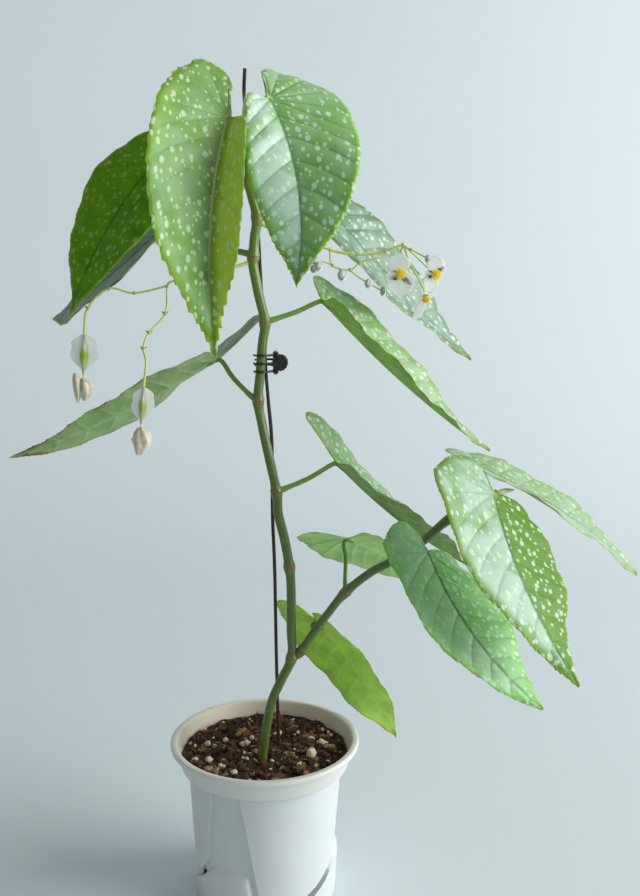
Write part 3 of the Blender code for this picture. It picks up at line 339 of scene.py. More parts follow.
def paint(share, dark, light, *layers):
    """Runs the base colour from dark to light by share, and lays more over it, each (share, colour)."""
    base = blend(share, colour(*dark), colour(*light))
    for share, seen in layers:
        base = blend(share, base, colour(*seen))
    shade("Base Color", base)


def rise(value, low, high, bottom=0.0, top=1.0):
    """bottom below low, top above high, smooth between."""
    ends = {"Value": value, "From Min": low, "From Max": high, "To Min": bottom, "To Max": top}
    return node("MapRange", ends, interpolation_type="SMOOTHSTEP").outputs["Result"]


def mark(label):
    """The three numbers of a mark that the mesh carries, and the mark itself."""
    kept = node("Attribute", attribute_name=label).outputs["Vector"]
    return *node("SeparateXYZ", {0: kept}).outputs, kept


def grain(place, scale, detail=3.0, roughness=0.5, warp=0.0):
    inputs = {"Vector": place, "Scale": scale, "Detail": detail, "Roughness": roughness, "Distortion": warp}
    return node("TexNoise", inputs).outputs[0]


def stretched(place, factors):
    return node("VectorMath", {0: place, 1: factors}, operation="MULTIPLY").outputs[0]


def lengthwise(turn, along, turn_scale, along_scale=1.0):
    """A stem's or petal's skin laid flat, for a grain that runs along it."""
    places = {0: times(turn, turn_scale), 1: times(along, along_scale)}
    return node("CombineXYZ", places).outputs[0]


def object_place():
    return node("TexCoord").outputs["Object"]


def relief(height, distance):
    """Gives the finish a bump: a height from 0 to 1 stands for up to distance metres."""
    bump = node("Bump", {"Height": height, "Distance": distance, "Strength": 1.0})
    shade("Normal", bump.outputs[0])


print("mid grey on screen is", round(colour(128, 128, 128)[0], 3), "in the nodes")

# %% [markdown]
# ## The pot
#
# The real pot is injection-moulded plastic: a thin tapered wall with three raised panels, a slit
# round each panel's lower right corner that lets air in, a collar and a rolled rim. It could be
# turned on a lathe as one profile, but the panels break the round, so each ring of the wall is laid
# from a rule that says how far out it stands at each angle.

# %% Pot sizes
POT_HEIGHT = 105.0
RIM_RADIUS, RIM_INNER_RADIUS, RIM_DEPTH = 60.0, 55.7, 3.6
COLLAR_TOP_RADIUS, COLLAR_FOOT_RADIUS, COLLAR_FOOT_Z = 56.4, 53.4, 90.2
BODY_TOP_Z = 89.0
PANEL_TOP_RADIUS, PANEL_FOOT_RADIUS, PANEL_STEP = 49.0, 44.4, 2.4
PANEL_AZIMUTHS = (-58.0, 62.0, 182.0)
PANEL_TOP_HALF_ANGLE, PANEL_FOOT_HALF_ANGLE, PANEL_EDGE = 48.4, 31.0, 0.9
PANEL_CORNER_Z, PANEL_CORNER_ANGLE, PANEL_CORNER_MOST = 40.0, 78.0, 50.0
BAND_OUT, BAND_LOW_Z, BAND_TOP_Z = 3.0, 28.0, 36.0
WALL, FLOOR = 1.6, 2.4
INNER_STEP_Z, INNER_STEP_TOP_Z = 90.7, 92.3
FOOT_RADIUS, FOOT_RING = 45.0, 3.0
SLIT_WIDTH, SLIT_FOOT_Z, SLIT_TOP_Z, SLIT_OFFSET = 3.8, 9.0, 27.0, 2.2
DRAIN_RADIUS, DRAIN_CIRCLE, DRAIN_COUNT = 1.8, 27.0, 6
POT_CREASE = 38


def panel_half_angle(z):
    return PANEL_FOOT_HALF_ANGLE + (PANEL_TOP_HALF_ANGLE - PANEL_FOOT_HALF_ANGLE) * z / BODY_TOP_Z


def panel_right_angle(z):
    """How far right of its middle a panel ends: its lower right corner is rounded off."""
    corner = PANEL_CORNER_ANGLE * max(0.0, 1 - z / PANEL_CORNER_Z) ** 2
    return panel_half_angle(z) - min(corner, PANEL_CORNER_MOST)


def panel_radius(z):
    return PANEL_FOOT_RADIUS + (PANEL_TOP_RADIUS - PANEL_FOOT_RADIUS) * z / BODY_TOP_Z


def recess_radius(z):
    """The wall between two panels."""
    return panel_radius(z) - PANEL_STEP


def inner_radius(z):
    """The pot's inside: a plain cone up to the collar, and a wider one behind it."""
    if z <= INNER_STEP_Z:
        return recess_radius(min(z, BODY_TOP_Z)) - WALL
    heights = (COLLAR_FOOT_Z, POT_HEIGHT - RIM_DEPTH)
    return np.interp(z, heights, (COLLAR_FOOT_RADIUS, COLLAR_TOP_RADIUS)) - WALL


print("inside radius at the soil:", round(inner_radius(95.5), 1), "mm")

# %% [markdown]
# The wall's columns follow the slanted panel edges, so that each edge is one clean line from foot to
# collar. Between two panels a rounded foot band swells out of the wall near the ground. Where the
# profile turns a corner, a small fillet stands for the mould's own radius.

# %% Pot rings
PANEL_COLUMNS, EDGE_COLUMNS, GAP_COLUMNS = 22, 5, 9
BAND_RISE, BAND_FALL = (4.3, 7.2), (2.0, 5.5)


def gap_columns(width, z):
    """Between two panels: (millimetres past the first one's edge, how far out) for each column."""
    near = min(1, width / 30) * np.linspace(1.4, BAND_RISE[1] + 0.8, 8)
    far = width - min(1, width / 30) * np.linspace(BAND_FALL[1] + 0.5, 1.0, 5)
    places = np.concatenate([near, np.linspace(near[-1], far[0], GAP_COLUMNS)[1:-1], far])
    band = BAND_OUT * (1 - eased(z, BAND_LOW_Z, BAND_TOP_Z))
    return [(p, band * eased(p, *BAND_RISE) * eased(width - p, *BAND_FALL)) for p in places]


def wall_columns(z):
    """(azimuth, millimetres out from the wall between the panels) for each column at a height."""
    z = min(z, BODY_TOP_Z)
    half, right = panel_half_angle(z), panel_right_angle(z)
    columns = []
    for middle in PANEL_AZIMUTHS:
        for share in np.linspace(0, 1, EDGE_COLUMNS)[:-1]:
            columns.append((middle - half - PANEL_EDGE * (1 - share), PANEL_STEP * eased(share, 0, 1)))
        columns += [(middle + k, PANEL_STEP) for k in np.linspace(-half, right, PANEL_COLUMNS)]
        for share in np.linspace(0, 1, EDGE_COLUMNS)[1:]:
            columns.append((middle + right + PANEL_EDGE * share, PANEL_STEP * eased(1 - share, 0, 1)))
        gap = radians(120 - half - right - 2 * PANEL_EDGE) * recess_radius(z)
        for place, out in gap_columns(gap, z):
            columns.append((middle + right + PANEL_EDGE + degrees(place / recess_radius(z)), out))
    return columns


def filleted(points, steps=4):
    """A profile of (radius, z, fillet) corners with each corner rounded off by its fillet."""
    out = [np.array(points[0][:2], float)]
    for before, here, after in zip(points, points[1:], points[2:]):
        place, size = np.array(here[:2], float), here[2]
        back = unit(np.array(before[:2]) - place)
        ahead = unit(np.array(after[:2]) - place)
        for share in np.linspace(0, 1, steps + 1) if size else (0.5,):
            ease = (1 - share) ** 2 * back + share**2 * ahead
            out.append(place + size * ease)
    return out + [np.array(points[-1][:2], float)]


def pot_profile():
    """The pot's rings as (radius, or None where the panels decide, and z), outside then inside."""
    top, lip = POT_HEIGHT, POT_HEIGHT - RIM_DEPTH
    foot = filleted([(0, 0, 0), (FOOT_RADIUS - 9, 0, 0), (FOOT_RADIUS, 0, 0.9),
                     (FOOT_RADIUS, FOOT_RING, 0)])
    body = [(None, z) for z in np.linspace(FOOT_RING + 0.5, BODY_TOP_Z, 34)]
    rim = filleted([
        (COLLAR_FOOT_RADIUS - 3, BODY_TOP_Z + 0.1, 0), (COLLAR_FOOT_RADIUS, BODY_TOP_Z + 0.3, 0.8),
        (COLLAR_TOP_RADIUS, lip - 0.3, 0.8), (RIM_RADIUS, lip, 1.3), (RIM_RADIUS, top, 1.5),
        (RIM_INNER_RADIUS, top, 1.6), (inner_radius(lip - 1.2), lip - 1.2, 0.8),
        (inner_radius(INNER_STEP_TOP_Z), INNER_STEP_TOP_Z, 0.5),
        (inner_radius(INNER_STEP_Z), INNER_STEP_Z, 0.5), (inner_radius(FLOOR), FLOOR, 0.8),
        (0, FLOOR, 0),
    ])
    return [tuple(p) for p in foot] + body + [tuple(p) for p in rim]


print("rings on the pot:", len(pot_profile()), "with", len(wall_columns(50.0)), "columns each")

# %% [markdown]
# The rings become one closed skin. Left open in it, the slits and drain holes would need their own
# rows of faces, so they are cut out of the finished skin instead, each by a closed shape.

# %% Pot shape and the cuts in it
def pot_shape():
    corners, counts = [], []
    for radius, z in pot_profile():
        if radius == 0.0:
            corners.append((0, 0, z))
            counts.append(1)
            continue
        for azimuth, out in wall_columns(z):
            reach = recess_radius(z) + out if radius is None else radius
            corners.append((reach * cos(radians(azimuth)), reach * sin(radians(azimuth)), z))
        counts.append(len(wall_columns(z)))
    faces, start = [], 0
    for low, high in zip(counts, counts[1:]):
        for k in range(max(low, high)):
            a, b = start + k % low, start + (k + 1) % low
            c, d = start + low + (k + 1) % high, start + low + k % high
            faces.append(tuple(dict.fromkeys((a, b, c, d))))
        start += low
    return corners, faces


def slit_cutter(middle, count=40):
    """A curved slot with round ends, beside a panel's rounded corner and right through the wall."""
    heights = np.linspace(SLIT_FOOT_Z, SLIT_TOP_Z, count)
    edge = np.array([(recess_radius(z) * radians(panel_right_angle(z) + PANEL_EDGE), z) for z in heights])
    way = unit(np.gradient(edge, axis=0))
    normal = np.stack([way[:, 1], -way[:, 0]], axis=1)
    run = distances(edge)
    inside = np.clip(np.minimum(run, run[-1] - run) / (SLIT_WIDTH / 2), 0.02, 1)
    half = SLIT_WIDTH / 2 * np.sqrt(1 - (1 - inside) ** 2)
    corners, faces = [], []
    for place, across, reach in zip(edge + SLIT_OFFSET * normal, normal, half):
        for side, depth in ((-1, -3.5), (1, -3.5), (1, 5.0), (-1, 5.0)):
            round_about, z = place + side * reach * across
            turn, out = radians(middle) + round_about / recess_radius(z), recess_radius(z) + depth
            corners.append((out * cos(turn), out * sin(turn), z))
    for row in range(count - 1):
        for k in range(4):
            a, b = 4 * row + k, 4 * row + (k + 1) % 4
            faces.append((a, b, b + 4, a + 4))
    return corners, faces + [(3, 2, 1, 0), tuple(range(4 * count - 4, 4 * count))]


def pot_cuts():
    """The three slits and the drain holes in the floor."""
    cuts = [slit_cutter(middle) for middle in PANEL_AZIMUTHS]
    for k in range(DRAIN_COUNT):
        turn = 2 * pi * (k + 0.5) / DRAIN_COUNT
        spot = (DRAIN_CIRCLE * cos(turn), DRAIN_CIRCLE * sin(turn))
        cuts.append(tube([(*spot, -1), (*spot, FLOOR + 1)], DRAIN_RADIUS, 24))
    return cuts


def cut_away(target, shapes, crease):
    """Cuts closed shapes out of a piece with one Boolean, and applies it."""
    cutter = placed("cutter", outward_mesh("cutter", gather(shapes)[0]))
    step = target.modifiers.new("cut", "BOOLEAN")
    step.operation, step.solver, step.object = "DIFFERENCE", "EXACT", cutter
    ready = target.evaluated_get(bpy.context.evaluated_depsgraph_get())
    result = bpy.data.meshes.new_from_object(ready)
    target.modifiers.clear()
    target.data = result
    bpy.data.objects.remove(cutter)
    soften(result, crease)


print("slits and holes to cut:", len(pot_cuts()))


# %% [markdown]
# The plastic is a warm off-white with a soft gloss. Real mouldings are never one flat tone: the
# melt leaves faint streaks, handling leaves dull patches and dust leaves rare dark specks. All of
# these come from noise in the pot's own coordinates, so that they stay put when the pot is seen from
# the back.

# %% Pot finish and pot
def pot_finish():
    made = finish("pot_plastic", (0.12, 0.002, (1.0, 0.9, 0.7)), Roughness=0.38, IOR=1.5)
    place = object_place()
    streaks = grain(stretched(place, (60, 60, 9)), 1.0, 4.0, 0.6, 0.4)
    patches = grain(place, 24.0, 3.0)
    height = node("SeparateXYZ", {0: place}).outputs[2]
    radius = node("VectorMath", {0: stretched(place, (1, 1, 0))}, operation="LENGTH")
    wall = maths("MULTIPLY_ADD", height, 0.268, 0.0292)  # the collar's outer line, in metres
    depth = maths("SUBTRACT", wall, radius.outputs["Value"])
    inside = times(rise(depth, 0.0006, 0.0012, 0.0, 0.85), rise(height, 0.086, 0.092))
    specks = node("TexVoronoi", {"Vector": place, "Scale": 260.0}).outputs["Distance"]
    rare = rise(grain(place, 55.0, 1.0), 0.62, 0.7)
    dirt = times(rise(specks, 0.10, 0.03), rare)
    paint(streaks, (206, 212, 214), (219, 224, 225),
          (rise(patches, 0.55, 0.8, 0, 0.35), (216, 217, 212)),
          (rise(height, 0.089, 0.091, 0.0, 0.45), (232, 228, 212)),
          (inside, (224, 214, 188)),
          (times(dirt, 0.7), (120, 104, 84)))
    shade("Roughness", rise(patches, 0.3, 0.75, 0.33, 0.5))
    skin = grain(place, 900.0, 2.0)
    relief(maths("ADD", skin, times(streaks, 2.0)), 0.00006)
    return made


slit_pot = piece("slit_pot", pot_shape(), [pot_finish()], "pot", "pot_plastic",
                 crease=POT_CREASE)
cut_away(slit_pot, pot_cuts(), POT_CREASE)
print("slit pot after the cuts:", len(slit_pot.data.polygons), "faces")

# %% [markdown]
# ## The potting mix
#
# A begonia stands in a loose mix of dark fibre, bark chips and white perlite. A bumpy painted disc
# would look flat from the side, so the bed is a solid with a crumbled top, and the chips, beads and
# fibres on it are separate little solids.

# %% Bed of mix
SOIL_Z, SOIL_RELIEF = 95.5, 1.9


def soil_height(x, y):
    broad = np.sin(0.21 * x + 1.0) * np.cos(0.17 * y)
    fine = 0.6 * np.sin(0.37 * x - 0.29 * y) + 0.5 * np.cos(0.52 * y + 0.3 * x)
    return SOIL_Z + SOIL_RELIEF * (broad + fine) / 2.1


def crumbs(x, y):
    """Small rough relief on top of the broad one."""
    return 0.9 * noise.fractal(Vector((x * 0.28, y * 0.28, 3.7)), 0.7, 2.2, 5)


def bed_shape(rings=64, sides=168):
    rows = [(inner_radius(z) - SEAT, z + 0.36) for z in (FLOOR, 40.0, INNER_STEP_Z, INNER_STEP_TOP_Z)]
    edge = inner_radius(SOIL_Z - SOIL_RELIEF) - SEAT
    rows += [(edge * (1 - k / rings), None) for k in range(rings)]
    corners = [(0, 0, FLOOR + SEAT)]
    for radius, z in rows:
        for k in range(sides):
            x, y = radius * cos(2 * pi * k / sides), radius * sin(2 * pi * k / sides)
            top = soil_height(x, y) + crumbs(x, y) * min(1, (edge - radius) / 3)
            corners.append((x, y, top if z is None else z))
    corners.append((0, 0, soil_height(0, 0) + crumbs(0, 0)))
    return corners, capped_rings(len(rows), sides)


def mix_finish():
    made = finish("potting_mix", Roughness=0.95)
    place = object_place()
    clods = grain(place, 170.0, 6.0, 0.7)
    dust = rise(grain(place, 620.0, 3.0), 0.62, 0.72)
    paint(rise(clods, 0.35, 0.7), (26, 16, 11), (80, 54, 38), (dust, (128, 92, 60)))
    relief(clods, 0.0012)
    return made


piece("mix_bed", bed_shape(), [mix_finish()], "soil", "potting_mix", crease=180)

# %% [markdown]
# A bark chip is a flat shard with a ragged outline. Each one starts as a ring of jittered points,
# copied down by its thickness, then turned and tilted to lie half sunk. A number kept on each chip
# lets one finish give every chip its own brown.


# %% Bark chips
FEET = ((-1, -11), (8.5, 5))  # where the cane and the stick go into the mix


def shard(draw, centre, size, thick, tilt):
    count = int(draw.integers(6, 10))
    turns = around(count) + draw.uniform(-0.22, 0.22, count)
    reach = draw.uniform(0.72, 1.1, count)
    flat = np.stack([size[0] * reach * np.cos(turns), size[1] * reach * np.sin(turns)], axis=1) / 2
    bend = draw.uniform(-0.05, 0.05)
    rows = []
    for level, shrink in ((-0.5, 0.82), (-0.2, 1.0), (0.25, 0.97), (0.5, 0.78)):
        lift = thick * level + bend * flat[:, 0] ** 2 + draw.uniform(-0.12, 0.12, count)
        rows.append(np.column_stack([flat * shrink, lift]))
    points = np.vstack([*rows, [(0, 0, -0.5 * thick), (0, 0, 0.5 * thick)]])
    heading = draw.uniform(0, 2 * pi)
    ahead = np.array((cos(heading), sin(heading), 0))
    up = unit((tilt * draw.normal(), tilt * draw.normal(), 1.0))
    ahead = unit(ahead - up * (ahead @ up))
    corners = np.asarray(centre) + points @ np.array([ahead, np.cross(up, ahead), up])
    low, high = 4 * count, 4 * count + 1
    faces = []
    for k in range(count):
        after = (k + 1) % count
        faces += [(low, after, k), (high, 3 * count + k, 3 * count + after)]
        for row in range(3):
            a, b = row * count + k, row * count + after
            faces.append((a, b, b + count, a + count))
    return corners, faces


def free_spot(draw, reach, away):
    """A seeded place on the mix, clear of the cane and the stick by away."""
    while True:
        turn, share = draw.uniform(0, 2 * pi), np.sqrt(draw.uniform(0, 1))
        x, y = reach * share * cos(turn), reach * share * sin(turn)
        if min(np.hypot(x - foot[0], y - foot[1]) for foot in FEET) > away:
            return x, y


def bark_shapes(count, lengths, seed):
    draw = np.random.default_rng(seed)
    shapes = []
    for _ in range(count):
        long = draw.uniform(*lengths)
        wide = long * draw.uniform(0.35, 0.7)
        x, y = free_spot(draw, 51 - long / 2, 3.6 + long / 2)
        thick = draw.uniform(0.14, 0.26) * long + 0.4
        height = soil_height(x, y) + draw.uniform(0.1, 0.6) * thick
        shapes.append(shard(draw, (x, y, height), (long, wide), thick, 0.3))
    return shapes


def bark_finish():
    made = finish("bark", Roughness=0.85)
    tone, streak, _, _ = mark("own")
    lines = grain(stretched(object_place(), (500, 900, 700)), 1.0, 4.0, 0.65, 1.5)
    paint(tone, (52, 27, 17), (124, 74, 44),
          (rise(streak, 0.72, 0.9), (186, 146, 96)),
          (rise(lines, 0.35, 0.7, 0.0, 0.75), (34, 19, 13)))
    relief(lines, 0.0007)
    return made


bark_parts, bark_owner = gather(
    bark_shapes(150, (5.5, 11.5), 3) + bark_shapes(420, (2.2, 5.5), 4) + bark_shapes(900, (0.9, 2.2), 5)
)
bark_tones = np.random.default_rng(6).uniform(0, 1, (bark_owner.max() + 1, 3))
piece("bark_chips", bark_parts, [bark_finish()], "soil", "potting_mix", hides=False,
      marks={"own": bark_tones[bark_owner]}, crease=30)

# %% [markdown]
# Perlite is puffed volcanic glass: chalk-white crumbs with a pitted skin. A round bead would read as
# a pill, so each bead's surface is pushed in and out by noise before it is placed. Thin bark fibres
# lie between the chips, and ragged shreds stand up along the back: all of these are small tubes.

# %% Perlite beads, fibres and shreds
# The larger beads lie where the pot's open top shows them; (x, y, radius).
SEEN_BEADS = (
    (-14.5, -6.4, 2.4), (-12, 6.8, 2.3), (-9.2, 15, 1.9), (-14.9, 7, 2.0), (-26.5, 13.6, 1.8),
    (-37.6, 6.8, 2.0), (-34.7, -15.6, 2.2), (-42.8, -17, 1.9), (29.6, -9.2, 3.3), (29.5, 12.4, 2.2),
    (35.6, 8, 2.8), (8, 22, 2.2), (22.4, -23.8, 1.9), (-17.7, -31, 2.0), (40, -19, 1.7),
)


def bead(draw, centre, radius):
    corners, faces = lump((0, 0, 0), (radius, radius * 0.85), 12, 8)
    seed = Vector(draw.uniform(0, 90, 3))
    swollen = []
    for corner in corners:
        rough = noise.fractal(Vector(corner) * (1.1 / radius) + seed, 0.6, 2.1, 4)
        swollen.append(np.asarray(centre) + corner * (1 + 0.42 * rough))
    return swollen, faces


def bead_shapes():
    draw = np.random.default_rng(12)
    shapes = []
    for x, y, radius in SEEN_BEADS:
        shapes.append(bead(draw, (x, y, soil_height(x, y) + 0.7 * radius), radius))
    for _ in range(60):
        radius = draw.uniform(0.5, 1.5)
        x, y = free_spot(draw, 50, 4.5)
        shapes.append(bead(draw, (x, y, soil_height(x, y) + 0.6 * radius), radius))
    return shapes


def fibre_shapes(count=160):
    draw = np.random.default_rng(15)
    shapes = []
    for _ in range(count):
        x, y = free_spot(draw, 48, 5)
        path = [np.array((x, y, soil_height(x, y) + 0.7))]
        heading = draw.uniform(0, 2 * pi)
        for _ in range(3):
            heading += draw.uniform(-0.6, 0.6)
            step = draw.uniform(0.8, 2.4)
            ahead = path[-1] + (step * cos(heading), step * sin(heading), 0)
            ahead[2] = soil_height(ahead[0], ahead[1]) + draw.uniform(0.6, 2.0)
            path.append(ahead)
        shapes.append(tube(smooth_path(path, 7), draw.uniform(0.1, 0.24), 5))
    return shapes


def shred_shapes(count=34):
    """Ragged shreds of fibre that stand up along the back of the pot."""
    draw = np.random.default_rng(18)
    shapes = []
    for _ in range(count):
        turn, reach = radians(draw.uniform(15, 178)), draw.uniform(37, 49)
        x, y = reach * cos(turn), reach * sin(turn)
        foot = np.array((x, y, soil_height(x, y) - 0.5))
        tip = foot + (*draw.uniform(-2.2, 2.2, 2), draw.uniform(2.0, 6.5))
        middle = (foot + tip) / 2 + (*draw.uniform(-0.7, 0.7, 2), 0)
        shapes.append(tube([foot, middle, tip], (draw.uniform(1.0, 2.0), 0.8, 0.15), 6))
    return shapes


def perlite_finish():
    made = finish("perlite", (0.2, 0.001), Roughness=0.9)
    place = object_place()
    pits = grain(place, 1500.0, 4.0, 0.7)
    stain = rise(grain(place, 300.0, 2.0), 0.55, 0.75, 0, 0.5)
    paint(stain, (226, 217, 188), (190, 166, 122),
          (rise(pits, 0.5, 0.3, 0, 0.5), (150, 136, 112)))
    relief(pits, 0.0005)
    return made


piece("perlite_beads", gather(bead_shapes())[0], [perlite_finish()], "soil", "potting_mix",
      hides=False, crease=180)
fibre_parts, fibre_owner = gather(fibre_shapes() + shred_shapes())
piece("mix_fibres", fibre_parts, [bpy.data.materials["bark"]], "soil", "potting_mix", hides=False,
      marks={"own": bark_tones[fibre_owner]}, crease=180)

# %% [markdown]
# ## The cane and its branch
#
# A cane begonia grows like thin bamboo: smooth lengths between swollen nodes, each with a ring scar
# where an old leaf's sheath came away. A tube with an even radius would look like wire, so its
# radius swells, dips and ridges by how far each ring is from the nearest node.

# %% Cane shapes
NODE_LENGTH, CANE_TAPER_Z, BRANCH_TAPER_Z = 3.2, 440.0, 258.0
CANE_RADII, BRANCH_RADII = (2.85, 3.75, 1.9), (2.5, 3.3, 1.6)  # plain, at a node, at the tip
CANE = (
    (-3.5, -11, 66), (-1, -11, 96), (4, -10.5, 130), (11, -10.5, 147.5), (17.5, -10, 162.5),
    (17.5, -10, 181.5), (17.5, -9.5, 206.5), (16.5, -9.5, 221), (13.5, -9, 239), (10, -9, 254.5),
    (9, -8.5, 268), (4.5, -8.5, 290), (1, -8, 307.5), (-1.5, -8, 323.5), (0, -8, 341.5),
    (1.5, -8, 358), (3, -7.5, 370), (-0.5, -7.5, 386), (-3.5, -7, 402.5), (-3.5, -7, 408),
    (-2.5, -7, 419), (-1, -7, 430), (-4, -7, 442.5), (-6, -7, 451), (-7, -7.5, 466.5),
    (-7.5, -8, 477.5),
)
CANE_NODES = (162.5, 221, 268, 323.5, 370, 408, 430, 451, 466.5)
BRANCH = (
    (17.5, -10, 162.5), (23.5, -10, 167), (30.5, -12, 178.5), (40, -16, 193.5), (50.5, -20, 208.5),
    (65, -27, 223), (77, -32, 231.5), (87.5, -37, 240.5), (97, -41, 248.5), (106.5, -45, 259),
    (119, -50, 269), (130, -51.5, 276), (135, -49.5, 278),
)
BRANCH_NODES = (167, 208.5, 240.5, 262)
CANE_SIDES = 36


def cane_parts(path, count, heights, radii, taper_z, seed):
    """One cane's tube and marks: (signed distance from the nearest node, place round it, height)."""
    radius, node_radius, tip_radius = radii
    points = smooth_path(path, count)
    turns = around(CANE_SIDES)
    nearest = np.array([min((z - n for n in heights), key=abs) for z in points[:, 2]])
    thin = np.interp(points[:, 2], (taper_z, points[-1, 2]), (0.0, 1.0))
    body = radius + (tip_radius - radius) * thin
    swell = (node_radius - radius) * np.exp(-((nearest / NODE_LENGTH) ** 2))
    scar = 0.22 * np.exp(-(((nearest - 0.9) / 0.45) ** 2)) - 0.2 * np.exp(-((nearest / 0.4) ** 2))
    ripple = skin_noise(points[:, 2] * 0.06 + seed, turns, 1.5)
    ribs = 0.05 * np.sin(9 * turns)[None, :]
    radii = (body + swell + scar)[:, None] + 0.16 * ripple + ribs
    shape = tube(points, radii, CANE_SIDES)
    marks = [(0, 0, 0)]
    for distance, z in zip(nearest, points[:, 2]):
        marks += [(distance, k / CANE_SIDES, z) for k in range(CANE_SIDES)]
    marks.append((9, 0, points[-1, 2]))
    return shape, marks


print("nodes on the cane:", len(CANE_NODES), "and on its branch:", len(BRANCH_NODES))

# %% [markdown]
# The skin is waxy green with fine pale streaks along it, small corky dots, and a reddish-brown ring
# at each node that fades both ways. The mark on the mesh says how far each point is from a node, so
# the ring follows every bend of the cane.


# %% Cane finish
def cane_finish():
    made = finish("cane_green", (0.15, 0.001, (0.6, 1.0, 0.3)), Roughness=0.42, Coat_Weight=0.4,
                  Coat_Roughness=0.2)
    near, turn, height, _ = mark("stem")
    place = object_place()
    streaks = grain(lengthwise(turn, height, 22.0, 0.05), 1.4, 4.0, 0.6)
    gap = maths("ABSOLUTE", near)
    patchy = rise(grain(place, 240.0, 3.0), 0.3, 0.6)
    young = rise(height, 300.0, 460.0)
    cork = node("TexVoronoi", {"Vector": place, "Scale": 330.0}).outputs["Distance"]
    paint(streaks, (62, 92, 24), (100, 126, 44),
          (times(young, 0.45), (122, 152, 56)),
          (rise(height, 150.0, 100.0, 0.0, 0.35), (104, 116, 58)),  # the old foot
          (times(rise(gap, 4.6, 0.6, 0.0, 0.5), patchy), (146, 118, 60)),  # ring
          (rise(gap, 0.6, 0.2, 0.0, 0.55), (104, 72, 40)),  # scar
          (rise(cork, 0.17, 0.08, 0.0, 0.45), (168, 176, 112)))
    shade("Roughness", rise(streaks, 0.2, 0.8, 0.36, 0.52))
    relief(maths("ADD", streaks, rise(cork, 0.17, 0.08, 0, 0.6)), 0.00025)
    return made


cane_green = cane_finish()
cane = cane_parts(CANE, 620, CANE_NODES, CANE_RADII, CANE_TAPER_Z, 0.0)
marked_piece("main_cane", [cane], "stem", cane_green, "cane", "cane_green")
branch = cane_parts(BRANCH, 300, BRANCH_NODES, BRANCH_RADII, BRANCH_TAPER_Z, 7.0)
marked_piece("side_branch", [branch], "stem", cane_green, "cane", "cane_green", hides=False)

# %% [markdown]
# ## The leaves
#
# Each leaf is a wing: one half is larger than the other and reaches back in a lobe behind the leaf
# stalk. A leaf could be a flat card with a picture on it, but it would vanish edge-on. Here the flat
# outline is worked out first, each point of it is told how far along and how far out it lies, and a
# bent blade then carries those points into space.


# %% What describes a leaf
@dataclass
class Leaf:
    """One leaf. Its blade runs from base, at the stalk's end, to tip; its upper side looks facing.

    left and right are each half as seen from above with the tip down: half width, lobe behind the
    base, and the widest place as a share of the length.
    """

    base: tuple
    tip: tuple
    facing: tuple
    stalk: tuple
    left: tuple
    right: tuple
    arch: float = 0.0
    fold: float = 0.0
    cup: float = 0.0
    sweep: float = 0.0
    twist: float = 0.0
    taper: float = 0.25
    wave: float = 1.2
    stalk_radius: float = 1.5


